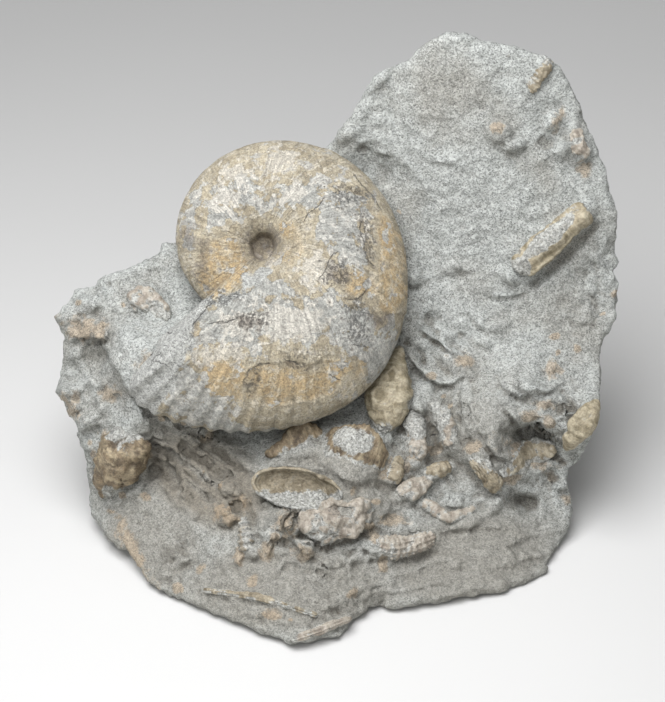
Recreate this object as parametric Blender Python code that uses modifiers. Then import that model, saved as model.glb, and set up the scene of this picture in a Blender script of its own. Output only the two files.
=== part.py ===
"""An ammonite fossil that stands proud of its block of grey sandy limestone, with smaller shells around it.

Everything is worked out in millimetres and scaled to metres when a mesh is made. The block stands on a flat
base at z = 0. Places on its front are given as they appear from the front and a little above: x and y in
pixels of a 665 x 702 picture (x to the right, y down), with the height of the surface above the picture
plane in millimetres, measured towards the eye.
"""

import math

import bmesh
import bpy
import numpy as np
from mathutils import Matrix, Vector, noise

MM = 0.001

# The line of sight
VIEW_ELEVATION = math.radians(32.0)
MM_PER_PIXEL = 0.34
EYE_DISTANCE = 750.0
MIDDLE_PIXEL = (332.5, 351.0)
MIDDLE_POINT = Vector((-0.7, 9.0, 60.0))
PICTURE_SIZE = (665, 702)

RIGHT = Vector((1.0, 0.0, 0.0))
UP = Vector((0.0, math.sin(VIEW_ELEVATION), math.cos(VIEW_ELEVATION)))
TOWARDS_EYE = Vector((0.0, -math.cos(VIEW_ELEVATION), math.sin(VIEW_ELEVATION)))

# The ammonite: a tube on a growing spiral. Angles run from the left of the umbilicus, over its top
UMBILICUS_PIXEL = (263.0, 250.0)
UMBILICUS_HEIGHT = 9.0
AXIS_TILT_UP = math.radians(9.0)
FIRST_RADIUS = 29.0
WHORL_GROWTH = 0.155
LAST_ANGLE = math.radians(317.0)
WHORLS_MODELLED = 1.9
UMBILICUS_SHARE = 0.055
HALF_WIDTH_SHARE = 0.405
HALF_WIDTH_SHARE_AT_END = 0.31
NARROWING_STARTS = math.radians(180.0)
SHOULDER_SKEW = 0.22
UMBILICAL_STEEPNESS = 0.7
CHAMBER_SWELL = 0.075
CHAMBER_SWELL_ANGLE = math.radians(230.0)
CHAMBER_SWELL_SPREAD = math.radians(32.0)
RIB_HEIGHT = 0.62
RIB_SPACING = math.radians(5.6)
RIB_SWEEP = 0.35
RIBS_START = math.radians(236.0)
RIBS_FADE_IN = 0.75
RIBS_REACH_IN = 0.5
END_ROUNDING = math.radians(7.0)
AMMONITE_RINGS = 300
AMMONITE_RING_POINTS = 44
AMMONITE_SKIN_GRAIN = 0.9
AMMONITE_TRIANGLES = 1450
AMMONITE_GAP = 0.6

# The block
HEART_PIXEL = (368.0, 340.0)
HEART_HEIGHT = -40.0
FARTHEST_SURFACE = 260.0
SEARCH_STEPS = 26
ROUGHENING_STEP = 9
SIDE_TAPER = 0.34
SIDE_INSET = 0.8
EDGE_ROUNDING = 5.0
BASE_CHAMFER = 4.0
BASE_CHAMFER_INSET = 1.4
SIDE_ROUGHNESS = 3.2
SIDE_ROUGHNESS_SCALE = 26.0
FRONT_ROUGHNESS = 0.7
FRONT_ROUGHNESS_SCALE = 9.0
FRONT_SKIN = 10.0
SPOT_SOFTNESS = 14.0
LUMP_ROUNDNESS = 0.75
BLOCK_FINENESS = 7
BLOCK_TRIANGLES = 4300

# The shells and broken pieces that lie in the front
PIECE_RINGS = 7
PIECE_RING_POINTS = 7
PIECE_END_SHARE = 0.62
POCKET_GAP = 0.4
CLOSE_POINTS = 0.01

# The open valve: an oval bowl with a thin wall
VALVE_MIDDLE = (297.0, 489.0)
VALVE_HALF_LENGTH = 15.2
VALVE_HALF_WIDTH = 7.0
VALVE_TURN = math.radians(-11.0)
VALVE_RISE = 5.0
VALVE_DEPTH = 5.6
VALVE_WALL = 1.1
VALVE_NOD = 0.12
VALVE_SIDES = 18
VALVE_LEVELS = [math.radians(a) for a in (78, 56, 34, 14, 0)]
VALVE_LID_LEVELS = [math.radians(a) for a in (-30, -60)]

# The block's outline as it appears from the front, hidden part behind the ammonite included
OUTLINE = [
    (431, 37), (446, 32), (466, 33), (482, 41), (502, 44), (524, 47), (546, 54), (561, 62), (569, 73),
    (579, 95), (587, 120), (600, 146), (609, 168), (614, 192), (620, 212), (621, 238), (617, 252),
    (621, 262), (614, 271), (621, 283), (620, 318), (606, 338), (602, 355), (601, 400), (599, 426),
    (588, 452), (582, 462), (568, 467), (567, 482), (575, 500), (573, 515), (562, 543), (553, 568),
    (545, 583), (528, 592), (480, 600), (440, 609), (393, 615), (371, 611), (353, 628), (344, 641),
    (318, 647), (292, 651), (268, 645), (240, 629), (212, 621), (182, 606), (160, 599), (147, 588),
    (127, 556), (105, 540), (90, 511), (87, 488), (83, 460), (73, 426), (55, 393), (61, 360), (61, 336),
    (50, 316), (66, 303), (75, 290), (94, 286), (104, 275), (120, 270), (140, 260), (158, 251),
    (161, 242), (176, 241), (196, 222), (228, 196), (270, 180), (306, 164), (328, 145), (342, 126),
    (353, 108), (364, 90), (374, 76), (384, 69), (404, 61), (419, 50),
]

# Spot heights of the front: x, y and height
SPOT_HEIGHTS = {
    "slab": [
        (440, 40, 21), (540, 60, 19), (480, 120, 15), (400, 120, 12), (585, 130, 11), (350, 130, 7),
        (378, 168, 3), (450, 180, 9), (520, 180, 9), (595, 200, 7), (430, 240, 0), (500, 250, 3),
        (570, 250, 3), (612, 260, 0), (420, 300, -4), (470, 310, -2), (540, 310, -1), (605, 310, -2),
    ],
    "ledge below the slab": [
        (430, 350, -4), (480, 350, -2), (540, 360, 1), (590, 370, 1), (430, 400, 0), (470, 420, 4),
        (525, 410, 6), (585, 400, 6), (590, 440, 5), (490, 430, 8), (508, 454, 6),
    ],
    "hollow under the ledge": [
        (450, 460, 2), (520, 447, -4), (560, 470, -7), (480, 485, 5), (525, 503, 1), (565, 500, -6),
        (560, 530, -3),
    ],
    "right foot": [
        (440, 520, 11), (500, 545, 11), (545, 565, 7), (430, 570, 19), (500, 580, 17), (400, 600, 25),
        (545, 583, 12), (440, 609, 25), (375, 612, 27),
    ],
    "rubble in the middle": [
        (400, 545, 18), (360, 560, 25), (355, 600, 31), (330, 540, 25), (345, 510, 23), (300, 492, 21),
        (355, 460, 13), (300, 448, 8), (260, 450, 6), (400, 470, 7), (385, 430, 2),
    ],
    "front foot": [
        (292, 645, 42), (290, 610, 40), (240, 600, 33), (322, 620, 38), (200, 592, 26), (165, 572, 17),
        (250, 570, 29), (300, 575, 33), (220, 530, 21), (160, 520, 9), (132, 500, 1), (200, 490, 12),
        (250, 500, 19), (345, 636, 38), (240, 624, 34), (182, 600, 23),
    ],
    "recess under the ammonite": [
        (180, 455, 4), (222, 462, 5), (245, 440, 2), (165, 465, 0),
    ],
    "left flank": [
        (96, 490, -8), (88, 450, -3), (120, 440, 5), (80, 400, -1), (72, 350, -3), (60, 315, -5),
        (98, 380, 1), (95, 310, 1),
    ],
    "shoulder": [
        (120, 290, 4), (150, 270, 1), (170, 252, -2), (145, 308, 6), (186, 316, 9), (157, 324, 10),
    ],
    "stone in the shell's mouth": [
        (122, 345, 14), (112, 352, 9), (126, 375, 14), (140, 392, 16), (145, 350, 21), (160, 345, 24),
        (155, 370, 24), (178, 352, 29),
    ],
    "seat of the ammonite": [
        (263, 250, -10), (220, 215, -8), (300, 195, -5), (330, 300, -7), (380, 350, -5), (300, 380, -4),
        (220, 380, 1),
    ],
}

# Lumps and hollows: x, y, half length and half width in pixels, turn in degrees, and rise in millimetres
LUMPS = {
    "knobs of the left flank": [
        (66, 313, 17, 12, 10, 4.5), (88, 303, 15, 12, 40, 3.5), (73, 352, 15, 12, 80, 3.0),
        (95, 335, 16, 11, 20, 2.5), (66, 392, 14, 11, 60, 3.0), (86, 420, 16, 12, 70, 2.5),
        (100, 356, 12, 9, 0, -2.5), (105, 470, 12, 16, 0, 2.6), (112, 500, 12, 9, 0, 2.0),
        (135, 490, 14, 7, 30, 2.4), (150, 460, 8, 20, 10, -6.0),
    ],
    "shoulder": [
        (118, 275, 16, 9, 20, 2.5), (150, 300, 24, 16, -35, 3.0), (124, 368, 18, 26, 20, 3.0),
    ],
    "slab": [
        (500, 133, 15, 12, 0, 3.2), (515, 146, 12, 9, 10, 2.4), (552, 121, 13, 10, 60, 2.8),
        (562, 150, 12, 9, 60, 3.0), (582, 150, 14, 10, 70, 3.2), (375, 80, 20, 10, 40, 2.0),
        (372, 166, 22, 26, 0, -3.0), (508, 275, 15, 8, -30, 1.8), (452, 268, 13, 9, 0, 1.4),
        (498, 326, 14, 8, 10, 2.0), (460, 37, 18, 6, 0, 1.2), (345, 135, 12, 10, 40, 2.0),
        (395, 268, 10, 8, 0, 2.0), (585, 315, 14, 10, 30, 2.2), (432, 318, 12, 9, 30, -2.0),
    ],
    "ledges": [
        (490, 414, 28, 40, 10, 5.0), (524, 374, 26, 17, -25, 2.4), (424, 416, 36, 11, -45, 2.6),
        (548, 446, 28, 9, -20, -3.0), (543, 412, 22, 10, -15, 2.0), (420, 335, 20, 14, -30, 2.4),
        (455, 362, 26, 12, -40, 3.0), (545, 395, 26, 10, -25, 3.2), (520, 385, 22, 9, -20, 2.0),
        (418, 400, 14, 26, -25, 4.0), (462, 395, 12, 22, 0, 2.5),
        (430, 420, 12, 10, 0, -3.5), (560, 425, 20, 12, 15, 4.0), (525, 436, 26, 7, -10, -5.0),
        (560, 456, 22, 8, -25, -3.0), (470, 455, 24, 12, -15, 4.0), (535, 468, 26, 12, 20, 2.8),
        (528, 505, 14, 12, 0, -4.5), (495, 505, 12, 9, 30, 2.4), (455, 500, 18, 9, 0, 2.0),
    ],
    "rubble": [
        (420, 527, 30, 10, 10, 3.0), (470, 520, 24, 9, 20, 2.6), (330, 525, 26, 14, 15, 3.0),
        (375, 500, 20, 14, -40, 3.0), (288, 522, 14, 18, 20, 3.6), (262, 530, 20, 14, 0, 3.0),
        (310, 520, 7, 12, 0, -4.0), (335, 560, 14, 9, 0, 2.6), (305, 548, 12, 8, 20, 2.2),
        (253, 548, 9, 12, 0, 2.5), (228, 488, 18, 9, -20, 3.5), (240, 505, 10, 5, 0, -2.6),
    ],
    "foot and recess": [
        (200, 470, 18, 7, -40, 2.0), (250, 465, 20, 7, -40, 2.0), (175, 560, 11, 11, 0, 2.0),
        (165, 572, 9, 9, 0, 1.8), (192, 425, 26, 6, -22, 3.0), (160, 418, 14, 6, -30, 2.4),
        (255, 612, 14, 8, 0, 1.4), (340, 600, 20, 8, 25, 2.0), (375, 590, 22, 9, 30, 1.8),
        (480, 560, 40, 8, 10, 1.6), (440, 585, 36, 7, 8, 1.4),
    ],
}

# Broken faces that close the block behind and below: the way each faces, and its distance from the origin
CLOSING_FACES = [
    ((0.05, 1.00, 0.06), 66.0), ((0.62, 0.80, 0.05), 94.0), ((-0.70, 0.72, 0.15), 95.0),
    ((0.94, 0.30, -0.05), 103.0), ((-0.93, 0.30, -0.10), 99.0), ((0.10, 0.72, 0.70), 157.0),
    ((0.0, 0.0, -1.0), 5.0),
]

# Each shell or broken piece runs along a line of stations: x, y, rise of its middle line above the front,
# half width and half thickness
SHELL_PIECES = {
    "tube_shell": [
        (516, 270, 1.0, 4.0, 2.6), (535, 254, 2.6, 5.2, 3.8), (560, 232, 3.2, 5.2, 4.0),
        (587, 208, 2.2, 4.2, 3.2),
    ],
    "oval_shell": [
        (566, 449, 3.0, 2.2, 2.4), (576, 434, 4.8, 4.0, 3.4), (587, 417, 4.8, 4.2, 3.4),
        (598, 400, 3.0, 2.6, 2.4),
    ],
    "bored_nodule": [
        (400, 346, 2.0, 1.4, 2.4), (394, 372, 5.0, 5.6, 5.0), (389, 400, 6.5, 8.0, 6.5),
        (384, 434, 4.5, 4.4, 4.4),
    ],
    "round_clam": [
        (325, 437, 2.4, 3.0, 2.6), (340, 447, 4.0, 8.6, 4.4), (358, 455, 4.6, 10.4, 5.4),
        (384, 465, 3.0, 6.0, 3.4),
    ],
    "shell_wedge": [
        (268, 456, 1.6, 1.0, 1.6), (288, 447, 3.2, 4.6, 3.0), (304, 440, 4.0, 6.4, 3.2),
        (322, 434, 3.0, 3.6, 2.6),
    ],
    "left_clam": [
        (101, 498, 1.6, 1.2, 1.6), (110, 480, 4.6, 5.6, 5.0), (121, 458, 6.6, 8.4, 6.4),
        (134, 432, 4.0, 6.6, 4.0),
    ],
    "whelk": [
        (128, 290, 1.6, 2.6, 2.2), (143, 299, 3.2, 5.0, 3.6), (155, 309, 3.0, 4.6, 3.2),
        (168, 321, 1.2, 2.0, 1.8),
    ],
    "ribbed_shell": [
        (374, 545, 2.0, 2.6, 2.2), (392, 548, 3.0, 3.6, 3.2), (412, 545, 2.8, 3.4, 2.8),
        (434, 537, 1.4, 2.2, 1.8),
    ],
    "long_spine": [
        (203, 590, 0.4, 1.1, 1.1), (233, 594, 0.6, 1.2, 1.2), (262, 598, 0.7, 1.2, 1.2),
        (290, 607, 0.5, 1.0, 1.0),
        (318, 616, 0.2, 0.8, 0.8),
    ],
    "lower_spine": [
        (289, 641, 0.6, 1.2, 1.2), (310, 634, 0.9, 1.6, 1.6), (330, 626, 0.9, 1.6, 1.6),
        (351, 618, 0.5, 1.2, 1.2),
    ],
    "finger_right": [
        (434, 402, 2.4, 2.2, 2.0), (441, 414, 3.6, 3.0, 2.6), (447, 428, 4.6, 3.2, 2.8),
        (452, 445, 5.0, 2.6, 2.4),
    ],
    "finger_left": [
        (416, 410, 2.0, 2.6, 2.4), (417, 426, 4.0, 3.6, 3.2), (417, 442, 5.0, 3.8, 3.4),
        (415, 462, 5.0, 3.2, 3.0),
    ],
    "short_stub": [
        (399, 458, 2.0, 2.0, 2.0), (395, 468, 3.0, 2.9, 2.6), (391, 480, 2.6, 2.2, 2.0),
    ],
    "mottled_stub": [
        (421, 474, 1.6, 2.2, 2.0), (436, 471, 3.0, 2.9, 2.6), (451, 466, 1.8, 2.2, 2.0),
    ],
    "cream_pebble": [
        (397, 496, 1.2, 2.2, 1.8), (409, 492, 2.6, 3.3, 2.6), (420, 485, 2.8, 3.2, 2.6),
        (431, 478, 1.4, 2.2, 1.8),
    ],
    "fibrous_fossil": [
        (472, 456, 1.8, 2.0, 1.8), (481, 466, 3.2, 3.0, 2.6), (489, 477, 3.4, 3.0, 2.6),
        (498, 489, 2.2, 2.0, 1.8),
    ],
    "flat_shell": [
        (500, 474, 0.4, 2.6, 1.4), (518, 462, 1.0, 4.6, 1.8), (536, 452, 1.0, 4.6, 1.8),
        (556, 444, 0.2, 2.8, 1.4),
    ],
    "bent_tube": [
        (423, 503, 1.4, 1.6, 1.6), (434, 508, 2.2, 2.2, 2.0), (447, 518, 2.0, 2.0, 2.0),
        (460, 515, 1.8, 2.0, 1.8),
        (474, 509, 1.0, 1.4, 1.4),
    ],
    "top_rod": [
        (529, 91, 0.6, 1.9, 1.4), (540, 75, 1.2, 2.2, 1.7), (551, 59, 0.6, 1.9, 1.4),
    ],
    "side_knob": [
        (574, 128, 0.8, 2.0, 1.8), (578, 142, 2.6, 2.8, 2.6), (581, 158, 1.8, 2.4, 2.2),
    ],
    "turret_shell": [
        (244, 518, 1.2, 1.2, 1.2), (245, 530, 2.0, 2.0, 1.9), (246, 543, 2.2, 2.5, 2.2),
        (247, 554, 1.2, 1.8, 1.6),
    ],
    "pitted_shell": [
        (300, 516, 1.6, 2.4, 2.0), (322, 522, 3.6, 6.4, 4.0), (345, 518, 3.8, 6.6, 4.0),
        (374, 507, 1.8, 3.0, 2.4),
    ],
}


def eye_point():
    """Where the picture is seen from."""
    return MIDDLE_POINT + TOWARDS_EYE * EYE_DISTANCE


def on_picture(pixel, height):
    """The point in space that shows at a pixel, at a height above the picture plane."""
    x, y = pixel
    spread = (EYE_DISTANCE - height) / EYE_DISTANCE * MM_PER_PIXEL
    across = RIGHT * ((x - MIDDLE_PIXEL[0]) * spread)
    upward = UP * ((MIDDLE_PIXEL[1] - y) * spread)
    return MIDDLE_POINT + across + upward + TOWARDS_EYE * height


def picture_of(points):
    """The pixel columns, pixel rows and heights of an array of points."""
    relative = points - np.array(MIDDLE_POINT)
    height = relative @ np.array(TOWARDS_EYE)
    spread = (EYE_DISTANCE - height) / EYE_DISTANCE * MM_PER_PIXEL
    x = MIDDLE_PIXEL[0] + relative @ np.array(RIGHT) / spread
    y = MIDDLE_PIXEL[1] - relative @ np.array(UP) / spread
    return x, y, height


def spot_height_surface(x, y):
    """A smooth surface through the spot heights, worked out at arrays of pixels."""
    spots = np.array([spot for region in SPOT_HEIGHTS.values() for spot in region], float)

    def influence(px, py):
        distance_squared = (px[..., None] - spots[:, 0]) ** 2 + (py[..., None] - spots[:, 1]) ** 2
        return np.sqrt(distance_squared + SPOT_SOFTNESS**2)

    count = len(spots)
    plane = np.column_stack([np.ones(count), spots[:, 0], spots[:, 1]])
    system = np.zeros((count + 3, count + 3))
    system[:count, :count] = influence(spots[:, 0], spots[:, 1])
    system[:count, count:] = plane
    system[count:, :count] = plane.T
    weights = np.linalg.solve(system, np.append(spots[:, 2], np.zeros(3)))
    flat = weights[count] + weights[count + 1] * x + weights[count + 2] * y
    return influence(x, y) @ weights[:count] + flat


def lump_surface(x, y):
    """The rise of all lumps, and the fall of all hollows, at arrays of pixels."""
    total = np.zeros_like(x)
    for middle_x, middle_y, half_length, half_width, turn, rise in sum(LUMPS.values(), []):
        angle = math.radians(turn)
        off_x, off_y = x - middle_x, y - middle_y
        along = (off_x * math.cos(angle) - off_y * math.sin(angle)) / half_length
        across = (off_x * math.sin(angle) + off_y * math.cos(angle)) / half_width
        total += rise * np.clip(1.0 - along**2 - across**2, 0.0, 1.0) ** LUMP_ROUNDNESS
    return total


def distance_outside(x, y):
    """Distance in pixels from the outline, positive outside it."""
    corners = np.array(OUTLINE, float)
    nearest = np.full(x.shape, np.inf)
    crossings = np.zeros(x.shape, int)
    for (ax, ay), (bx, by) in zip(corners, np.roll(corners, -1, axis=0)):
        dx, dy = bx - ax, by - ay
        share = np.clip(((x - ax) * dx + (y - ay) * dy) / (dx * dx + dy * dy), 0.0, 1.0)
        nearest = np.minimum(nearest, np.hypot(x - ax - share * dx, y - ay - share * dy))
        if dy:
            crossings += ((ay > y) != (by > y)) & (x < ax + (y - ay) * dx / dy)
    return np.where(crossings % 2 == 1, -nearest, nearest)


class PictureMap:
    """Values on every pixel of a frame a little wider than the picture, read between pixels."""

    MARGIN = 90

    def __init__(self, rule):
        width, height = PICTURE_SIZE
        rows, columns = np.mgrid[-self.MARGIN : height + self.MARGIN, -self.MARGIN : width + self.MARGIN]
        self.values = rule(columns.astype(float), rows.astype(float))

    def at(self, x, y):
        """The values at arrays of places, given in pixels."""
        rows, columns = self.values.shape
        x = np.clip(x + self.MARGIN, 0, columns - 1.001)
        y = np.clip(y + self.MARGIN, 0, rows - 1.001)
        left, top = x.astype(int), y.astype(int)
        rightward, downward = x - left, y - top
        above = self.values[top, left] * (1 - rightward) + self.values[top, left + 1] * rightward
        below = self.values[top + 1, left] * (1 - rightward) + self.values[top + 1, left + 1] * rightward
        return above * (1 - downward) + below * downward


def smooth_max(a, b, radius):
    """The larger of two values, rounded over where they are within radius of each other."""
    blend = np.clip(0.5 + 0.5 * (a - b) / radius, 0.0, 1.0)
    return b + (a - b) * blend + radius * blend * (1.0 - blend)


def fractal(points, scale, seed, octaves=4):
    """Fractal noise at an array of points, about -1 to 1."""
    shift = Vector((seed * 17.3, seed * -9.1, seed * 5.7))
    return np.array([noise.fractal(Vector(p) / scale + shift, 1.0, 2.1, octaves) for p in points])


class BlockShape:
    """Tells how far a point is outside the block of stone, in millimetres."""

    def __init__(self):
        self.smooth = PictureMap(spot_height_surface)
        self.front = PictureMap(lambda x, y: spot_height_surface(x, y) + lump_surface(x, y))
        self.outline = PictureMap(distance_outside)

    def lift(self, x, y):
        """Height of the front at a pixel, without its lumps."""
        return float(self.smooth.at(np.array([x], float), np.array([y], float))[0])

    def depth(self, points):
        """How far each point lies behind the front."""
        x, y, height = picture_of(points)
        return self.front.at(x, y) - height

    def roughness(self, points):
        """How far the stone stands back at each point: broken at the sides, fine on the front."""
        seen = np.clip(1.0 - self.depth(points) / FRONT_SKIN, 0.0, 1.0)
        broken = fractal(points, SIDE_ROUGHNESS_SCALE, 1) * SIDE_ROUGHNESS
        fine = fractal(points, FRONT_ROUGHNESS_SCALE, 2) * FRONT_ROUGHNESS
        return broken * (1.0 - seen) + fine * seen

    def outside(self, points, roughness):
        """Distance of each point outside the stone, negative inside it."""
        x, y, _ = picture_of(points)
        behind = self.depth(points)
        side = self.outline.at(x, y) * MM_PER_PIXEL + SIDE_TAPER * np.maximum(behind, 0.0)
        value = smooth_max(-behind, side - SIDE_INSET, EDGE_ROUNDING)
        for direction, reach in CLOSING_FACES:
            facing = np.array(Vector(direction).normalized())
            value = smooth_max(value, points @ facing - reach, EDGE_ROUNDING)
        near_base = np.clip((BASE_CHAMFER - points[:, 2]) / BASE_CHAMFER, 0.0, 1.0)
        return value + BASE_CHAMFER_INSET * near_base**2 + roughness


def clear_scene():
    """Removes every object and collection that the file started with."""
    for obj in list(bpy.data.objects):
        bpy.data.objects.remove(obj, do_unlink=True)
    for collection in list(bpy.data.collections):
        bpy.data.collections.remove(collection)


def new_collection(name):
    """An empty collection in the scene."""
    collection = bpy.data.collections.new(name)
    bpy.context.scene.collection.children.link(collection)
    return collection


def finish_material(name, colour, roughness):
    """A plain stone or shell finish."""
    material = bpy.data.materials.new(name)
    material.use_nodes = True
    shader = material.node_tree.nodes["Principled BSDF"]
    shader.inputs["Base Color"].default_value = (*colour, 1.0)
    shader.inputs["Roughness"].default_value = roughness
    shader.inputs["Metallic"].default_value = 0.0
    return material


def make_object(name, bm, collection, material):
    """Scales a mesh from millimetres to metres and puts it in the scene as an object."""
    bmesh.ops.recalc_face_normals(bm, faces=bm.faces)
    bmesh.ops.scale(bm, vec=(MM, MM, MM), verts=bm.verts)
    mesh = bpy.data.meshes.new(name)
    bm.to_mesh(mesh)
    bm.free()
    mesh.materials.append(material)
    obj = bpy.data.objects.new(name, mesh)
    collection.objects.link(obj)
    return obj


def apply_modifiers(obj):
    """Replaces an object's mesh by what its modifiers make of it."""
    graph = bpy.context.evaluated_depsgraph_get()
    mesh = bpy.data.meshes.new_from_object(obj.evaluated_get(graph))
    obj.modifiers.clear()
    obj.data = mesh


def decimate(obj, triangles):
    """Collapses edges until about that many triangles are left."""
    present = sum(len(polygon.vertices) - 2 for polygon in obj.data.polygons)
    modifier = obj.modifiers.new("fewer faces", "DECIMATE")
    modifier.ratio = min(1.0, triangles / present)
    modifier.use_collapse_triangulate = True
    apply_modifiers(obj)


def bridge_rings(bm, near, far):
    """Joins two rings of points by triangles, split the same way in every copy."""
    for i, j in zip(range(len(near)), [*range(1, len(near)), 0]):
        bm.faces.new((near[i], near[j], far[j]))
        bm.faces.new((near[i], far[j], far[i]))


def solid_of_rings(rings):
    """A closed body through rings of points, capped at both ends."""
    bm = bmesh.new()
    rows = [[bm.verts.new(point) for point in ring] for ring in rings]
    bm.faces.new(rows[0])
    for near, far in zip(rows, rows[1:]):
        bridge_rings(bm, near, far)
    bm.faces.new(list(reversed(rows[-1])))
    return bm


def cut_flat_base(obj):
    """Cuts an object off at z = 0 and closes the cut."""
    bm = bmesh.new()
    bm.from_mesh(obj.data)
    everything = bm.verts[:] + bm.edges[:] + bm.faces[:]
    cut = bmesh.ops.bisect_plane(
        bm, geom=everything, plane_co=(0, 0, 0), plane_no=(0, 0, -1), clear_outer=True, dist=1e-7
    )
    rim = [item for item in cut["geom_cut"] if isinstance(item, bmesh.types.BMEdge)]
    bmesh.ops.holes_fill(bm, edges=rim, sides=0)
    bmesh.ops.triangulate(bm, faces=[face for face in bm.faces if len(face.verts) > 3])
    bmesh.ops.recalc_face_normals(bm, faces=bm.faces)
    bm.to_mesh(obj.data)
    bm.free()


def build_block(shape, collection, material):
    """The block: a ball of points pushed out from its heart until each lies on the stone's surface."""
    bm = bmesh.new()
    bmesh.ops.create_icosphere(bm, subdivisions=BLOCK_FINENESS, radius=1.0)
    directions = np.array([vertex.co for vertex in bm.verts])
    directions /= np.linalg.norm(directions, axis=1)[:, None]
    heart = np.array(on_picture(HEART_PIXEL, HEART_HEIGHT))
    near = np.zeros(len(directions))
    far = np.full(len(directions), FARTHEST_SURFACE)
    roughness = np.zeros(len(directions))
    for step in range(SEARCH_STEPS):
        if step == ROUGHENING_STEP:
            roughness = shape.roughness(heart + directions * ((near + far) / 2)[:, None])
            near = np.maximum(near - 2 * SIDE_ROUGHNESS, 0.0)
            far = far + 2 * SIDE_ROUGHNESS
        middle = (near + far) / 2
        outside = shape.outside(heart + directions * middle[:, None], roughness) > 0
        near = np.where(outside, near, middle)
        far = np.where(outside, middle, far)
    surface = heart + directions * near[:, None]
    for vertex, place in zip(bm.verts, surface):
        vertex.co = Vector(place)
    block = make_object("matrix", bm, collection, material)
    decimate(block, BLOCK_TRIANGLES)
    cut_flat_base(block)
    return block


def whorl_radius(angle):
    """Distance from the coil's axis to the outer edge at an angle along the spiral."""
    swell = math.exp(-(((angle - CHAMBER_SWELL_ANGLE) / CHAMBER_SWELL_SPREAD) ** 2))
    return FIRST_RADIUS * math.exp(WHORL_GROWTH * angle) * (1.0 + CHAMBER_SWELL * swell)


def whorl_section(angle):
    """One cross-section of the tube, as (distance from the axis, distance from the middle plane) pairs."""
    radius = whorl_radius(angle)
    seam = UMBILICUS_SHARE * radius
    ripe = min(max((angle - NARROWING_STARTS) / (LAST_ANGLE - NARROWING_STARTS), 0.0), 1.0)
    half_width = radius * (HALF_WIDTH_SHARE + (HALF_WIDTH_SHARE_AT_END - HALF_WIDTH_SHARE) * ripe)
    ribbed = min(max(angle - RIBS_START, 0.0) / RIBS_FADE_IN, 1.0)
    past = max(0.0, 1.0 - (LAST_ANGLE - angle) / END_ROUNDING)
    closing = math.sqrt(1.0 - 0.75 * past**2)
    section = []
    for step in range(AMMONITE_RING_POINTS):
        turn = 2.0 * math.pi * step / AMMONITE_RING_POINTS
        outward = (1.0 + math.cos(turn)) / 2.0
        fullness = abs(math.sin(turn)) ** (UMBILICAL_STEEPNESS if outward < 0.5 else 1.0)
        width = math.copysign(half_width * fullness, math.sin(turn)) * (1.0 - SHOULDER_SKEW * math.cos(turn))
        reach = seam + (radius - seam) * (0.5 + (outward - 0.5) * closing)
        phase = (angle + RIB_SWEEP * (1.0 - outward)) / RIB_SPACING * 2.0 * math.pi
        share = max(0.0, outward - RIBS_REACH_IN) / (1.0 - RIBS_REACH_IN)
        rise = RIB_HEIGHT * ribbed * share * math.cos(phase)
        section.append((reach + rise * math.cos(turn), width * closing + rise * math.sin(turn)))
    return section


def build_ammonite(collection, material):
    """The shell: a tube coiled on a growing spiral, fused to one skin where its whorls overlap."""
    centre = on_picture(UMBILICUS_PIXEL, UMBILICUS_HEIGHT)
    axis = Matrix.Rotation(-AXIS_TILT_UP, 3, RIGHT) @ (eye_point() - centre).normalized()
    leftward = (axis.dot(RIGHT) * axis - RIGHT).normalized()
    upward = leftward.cross(axis)
    first_angle = LAST_ANGLE - WHORLS_MODELLED * 2.0 * math.pi
    rings = []
    for ring in range(AMMONITE_RINGS + 1):
        angle = first_angle + (LAST_ANGLE - first_angle) * ring / AMMONITE_RINGS
        outward = leftward * math.cos(angle) + upward * math.sin(angle)
        rings.append([centre + outward * reach + axis * width for reach, width in whorl_section(angle)])
    shell = make_object("ammonite", solid_of_rings(rings), collection, material)
    fuse = shell.modifiers.new("one skin", "REMESH")
    fuse.mode = "VOXEL"
    fuse.voxel_size = AMMONITE_SKIN_GRAIN * MM
    apply_modifiers(shell)
    decimate(shell, AMMONITE_TRIANGLES)
    return shell


def along_stations(stations, share):
    """The place and size at a share of the way, 0 to 1, along a line of stations, smoothly joined."""
    reach = share * (len(stations) - 1)
    index = min(int(reach), len(stations) - 2)
    rest = reach - index
    before, beyond = stations[max(index - 1, 0)], stations[min(index + 2, len(stations) - 1)]
    values = []
    for a, b, c, d in zip(before, stations[index], stations[index + 1], beyond):
        curve = (c - a) * rest + (2 * a - 5 * b + 4 * c - d) * rest**2 + (3 * b - a - 3 * c + d) * rest**3
        values.append(b + 0.5 * curve)
    return values


def piece_mesh(stations, shape, grow):
    """A rounded body along its stations; grow makes it larger all round by that many millimetres."""
    sizes = []
    middles = []
    for ring in range(PIECE_RINGS):
        x, y, rise, half_width, half_height = along_stations(stations, ring / (PIECE_RINGS - 1))
        narrowing = PIECE_END_SHARE if ring in (0, PIECE_RINGS - 1) else 1.0
        middles.append(on_picture((x, y), shape.lift(x, y) + rise))
        sizes.append((half_width * narrowing + grow, half_height * narrowing + grow))
    headings = [
        (middles[min(ring + 1, PIECE_RINGS - 1)] - middles[max(ring - 1, 0)]).normalized()
        for ring in range(PIECE_RINGS)
    ]
    middles[0] -= headings[0] * grow
    middles[-1] += headings[-1] * grow
    rings = []
    for middle, heading, (half_width, half_height) in zip(middles, headings, sizes):
        sideways = heading.cross(TOWARDS_EYE).normalized()
        outward = sideways.cross(heading)
        ring = []
        for step in range(PIECE_RING_POINTS):
            turn = 2.0 * math.pi * step / PIECE_RING_POINTS
            across = sideways * half_width * math.cos(turn)
            ring.append(middle + across + outward * half_height * math.sin(turn))
        rings.append(ring)
    return solid_of_rings(rings)


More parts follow.
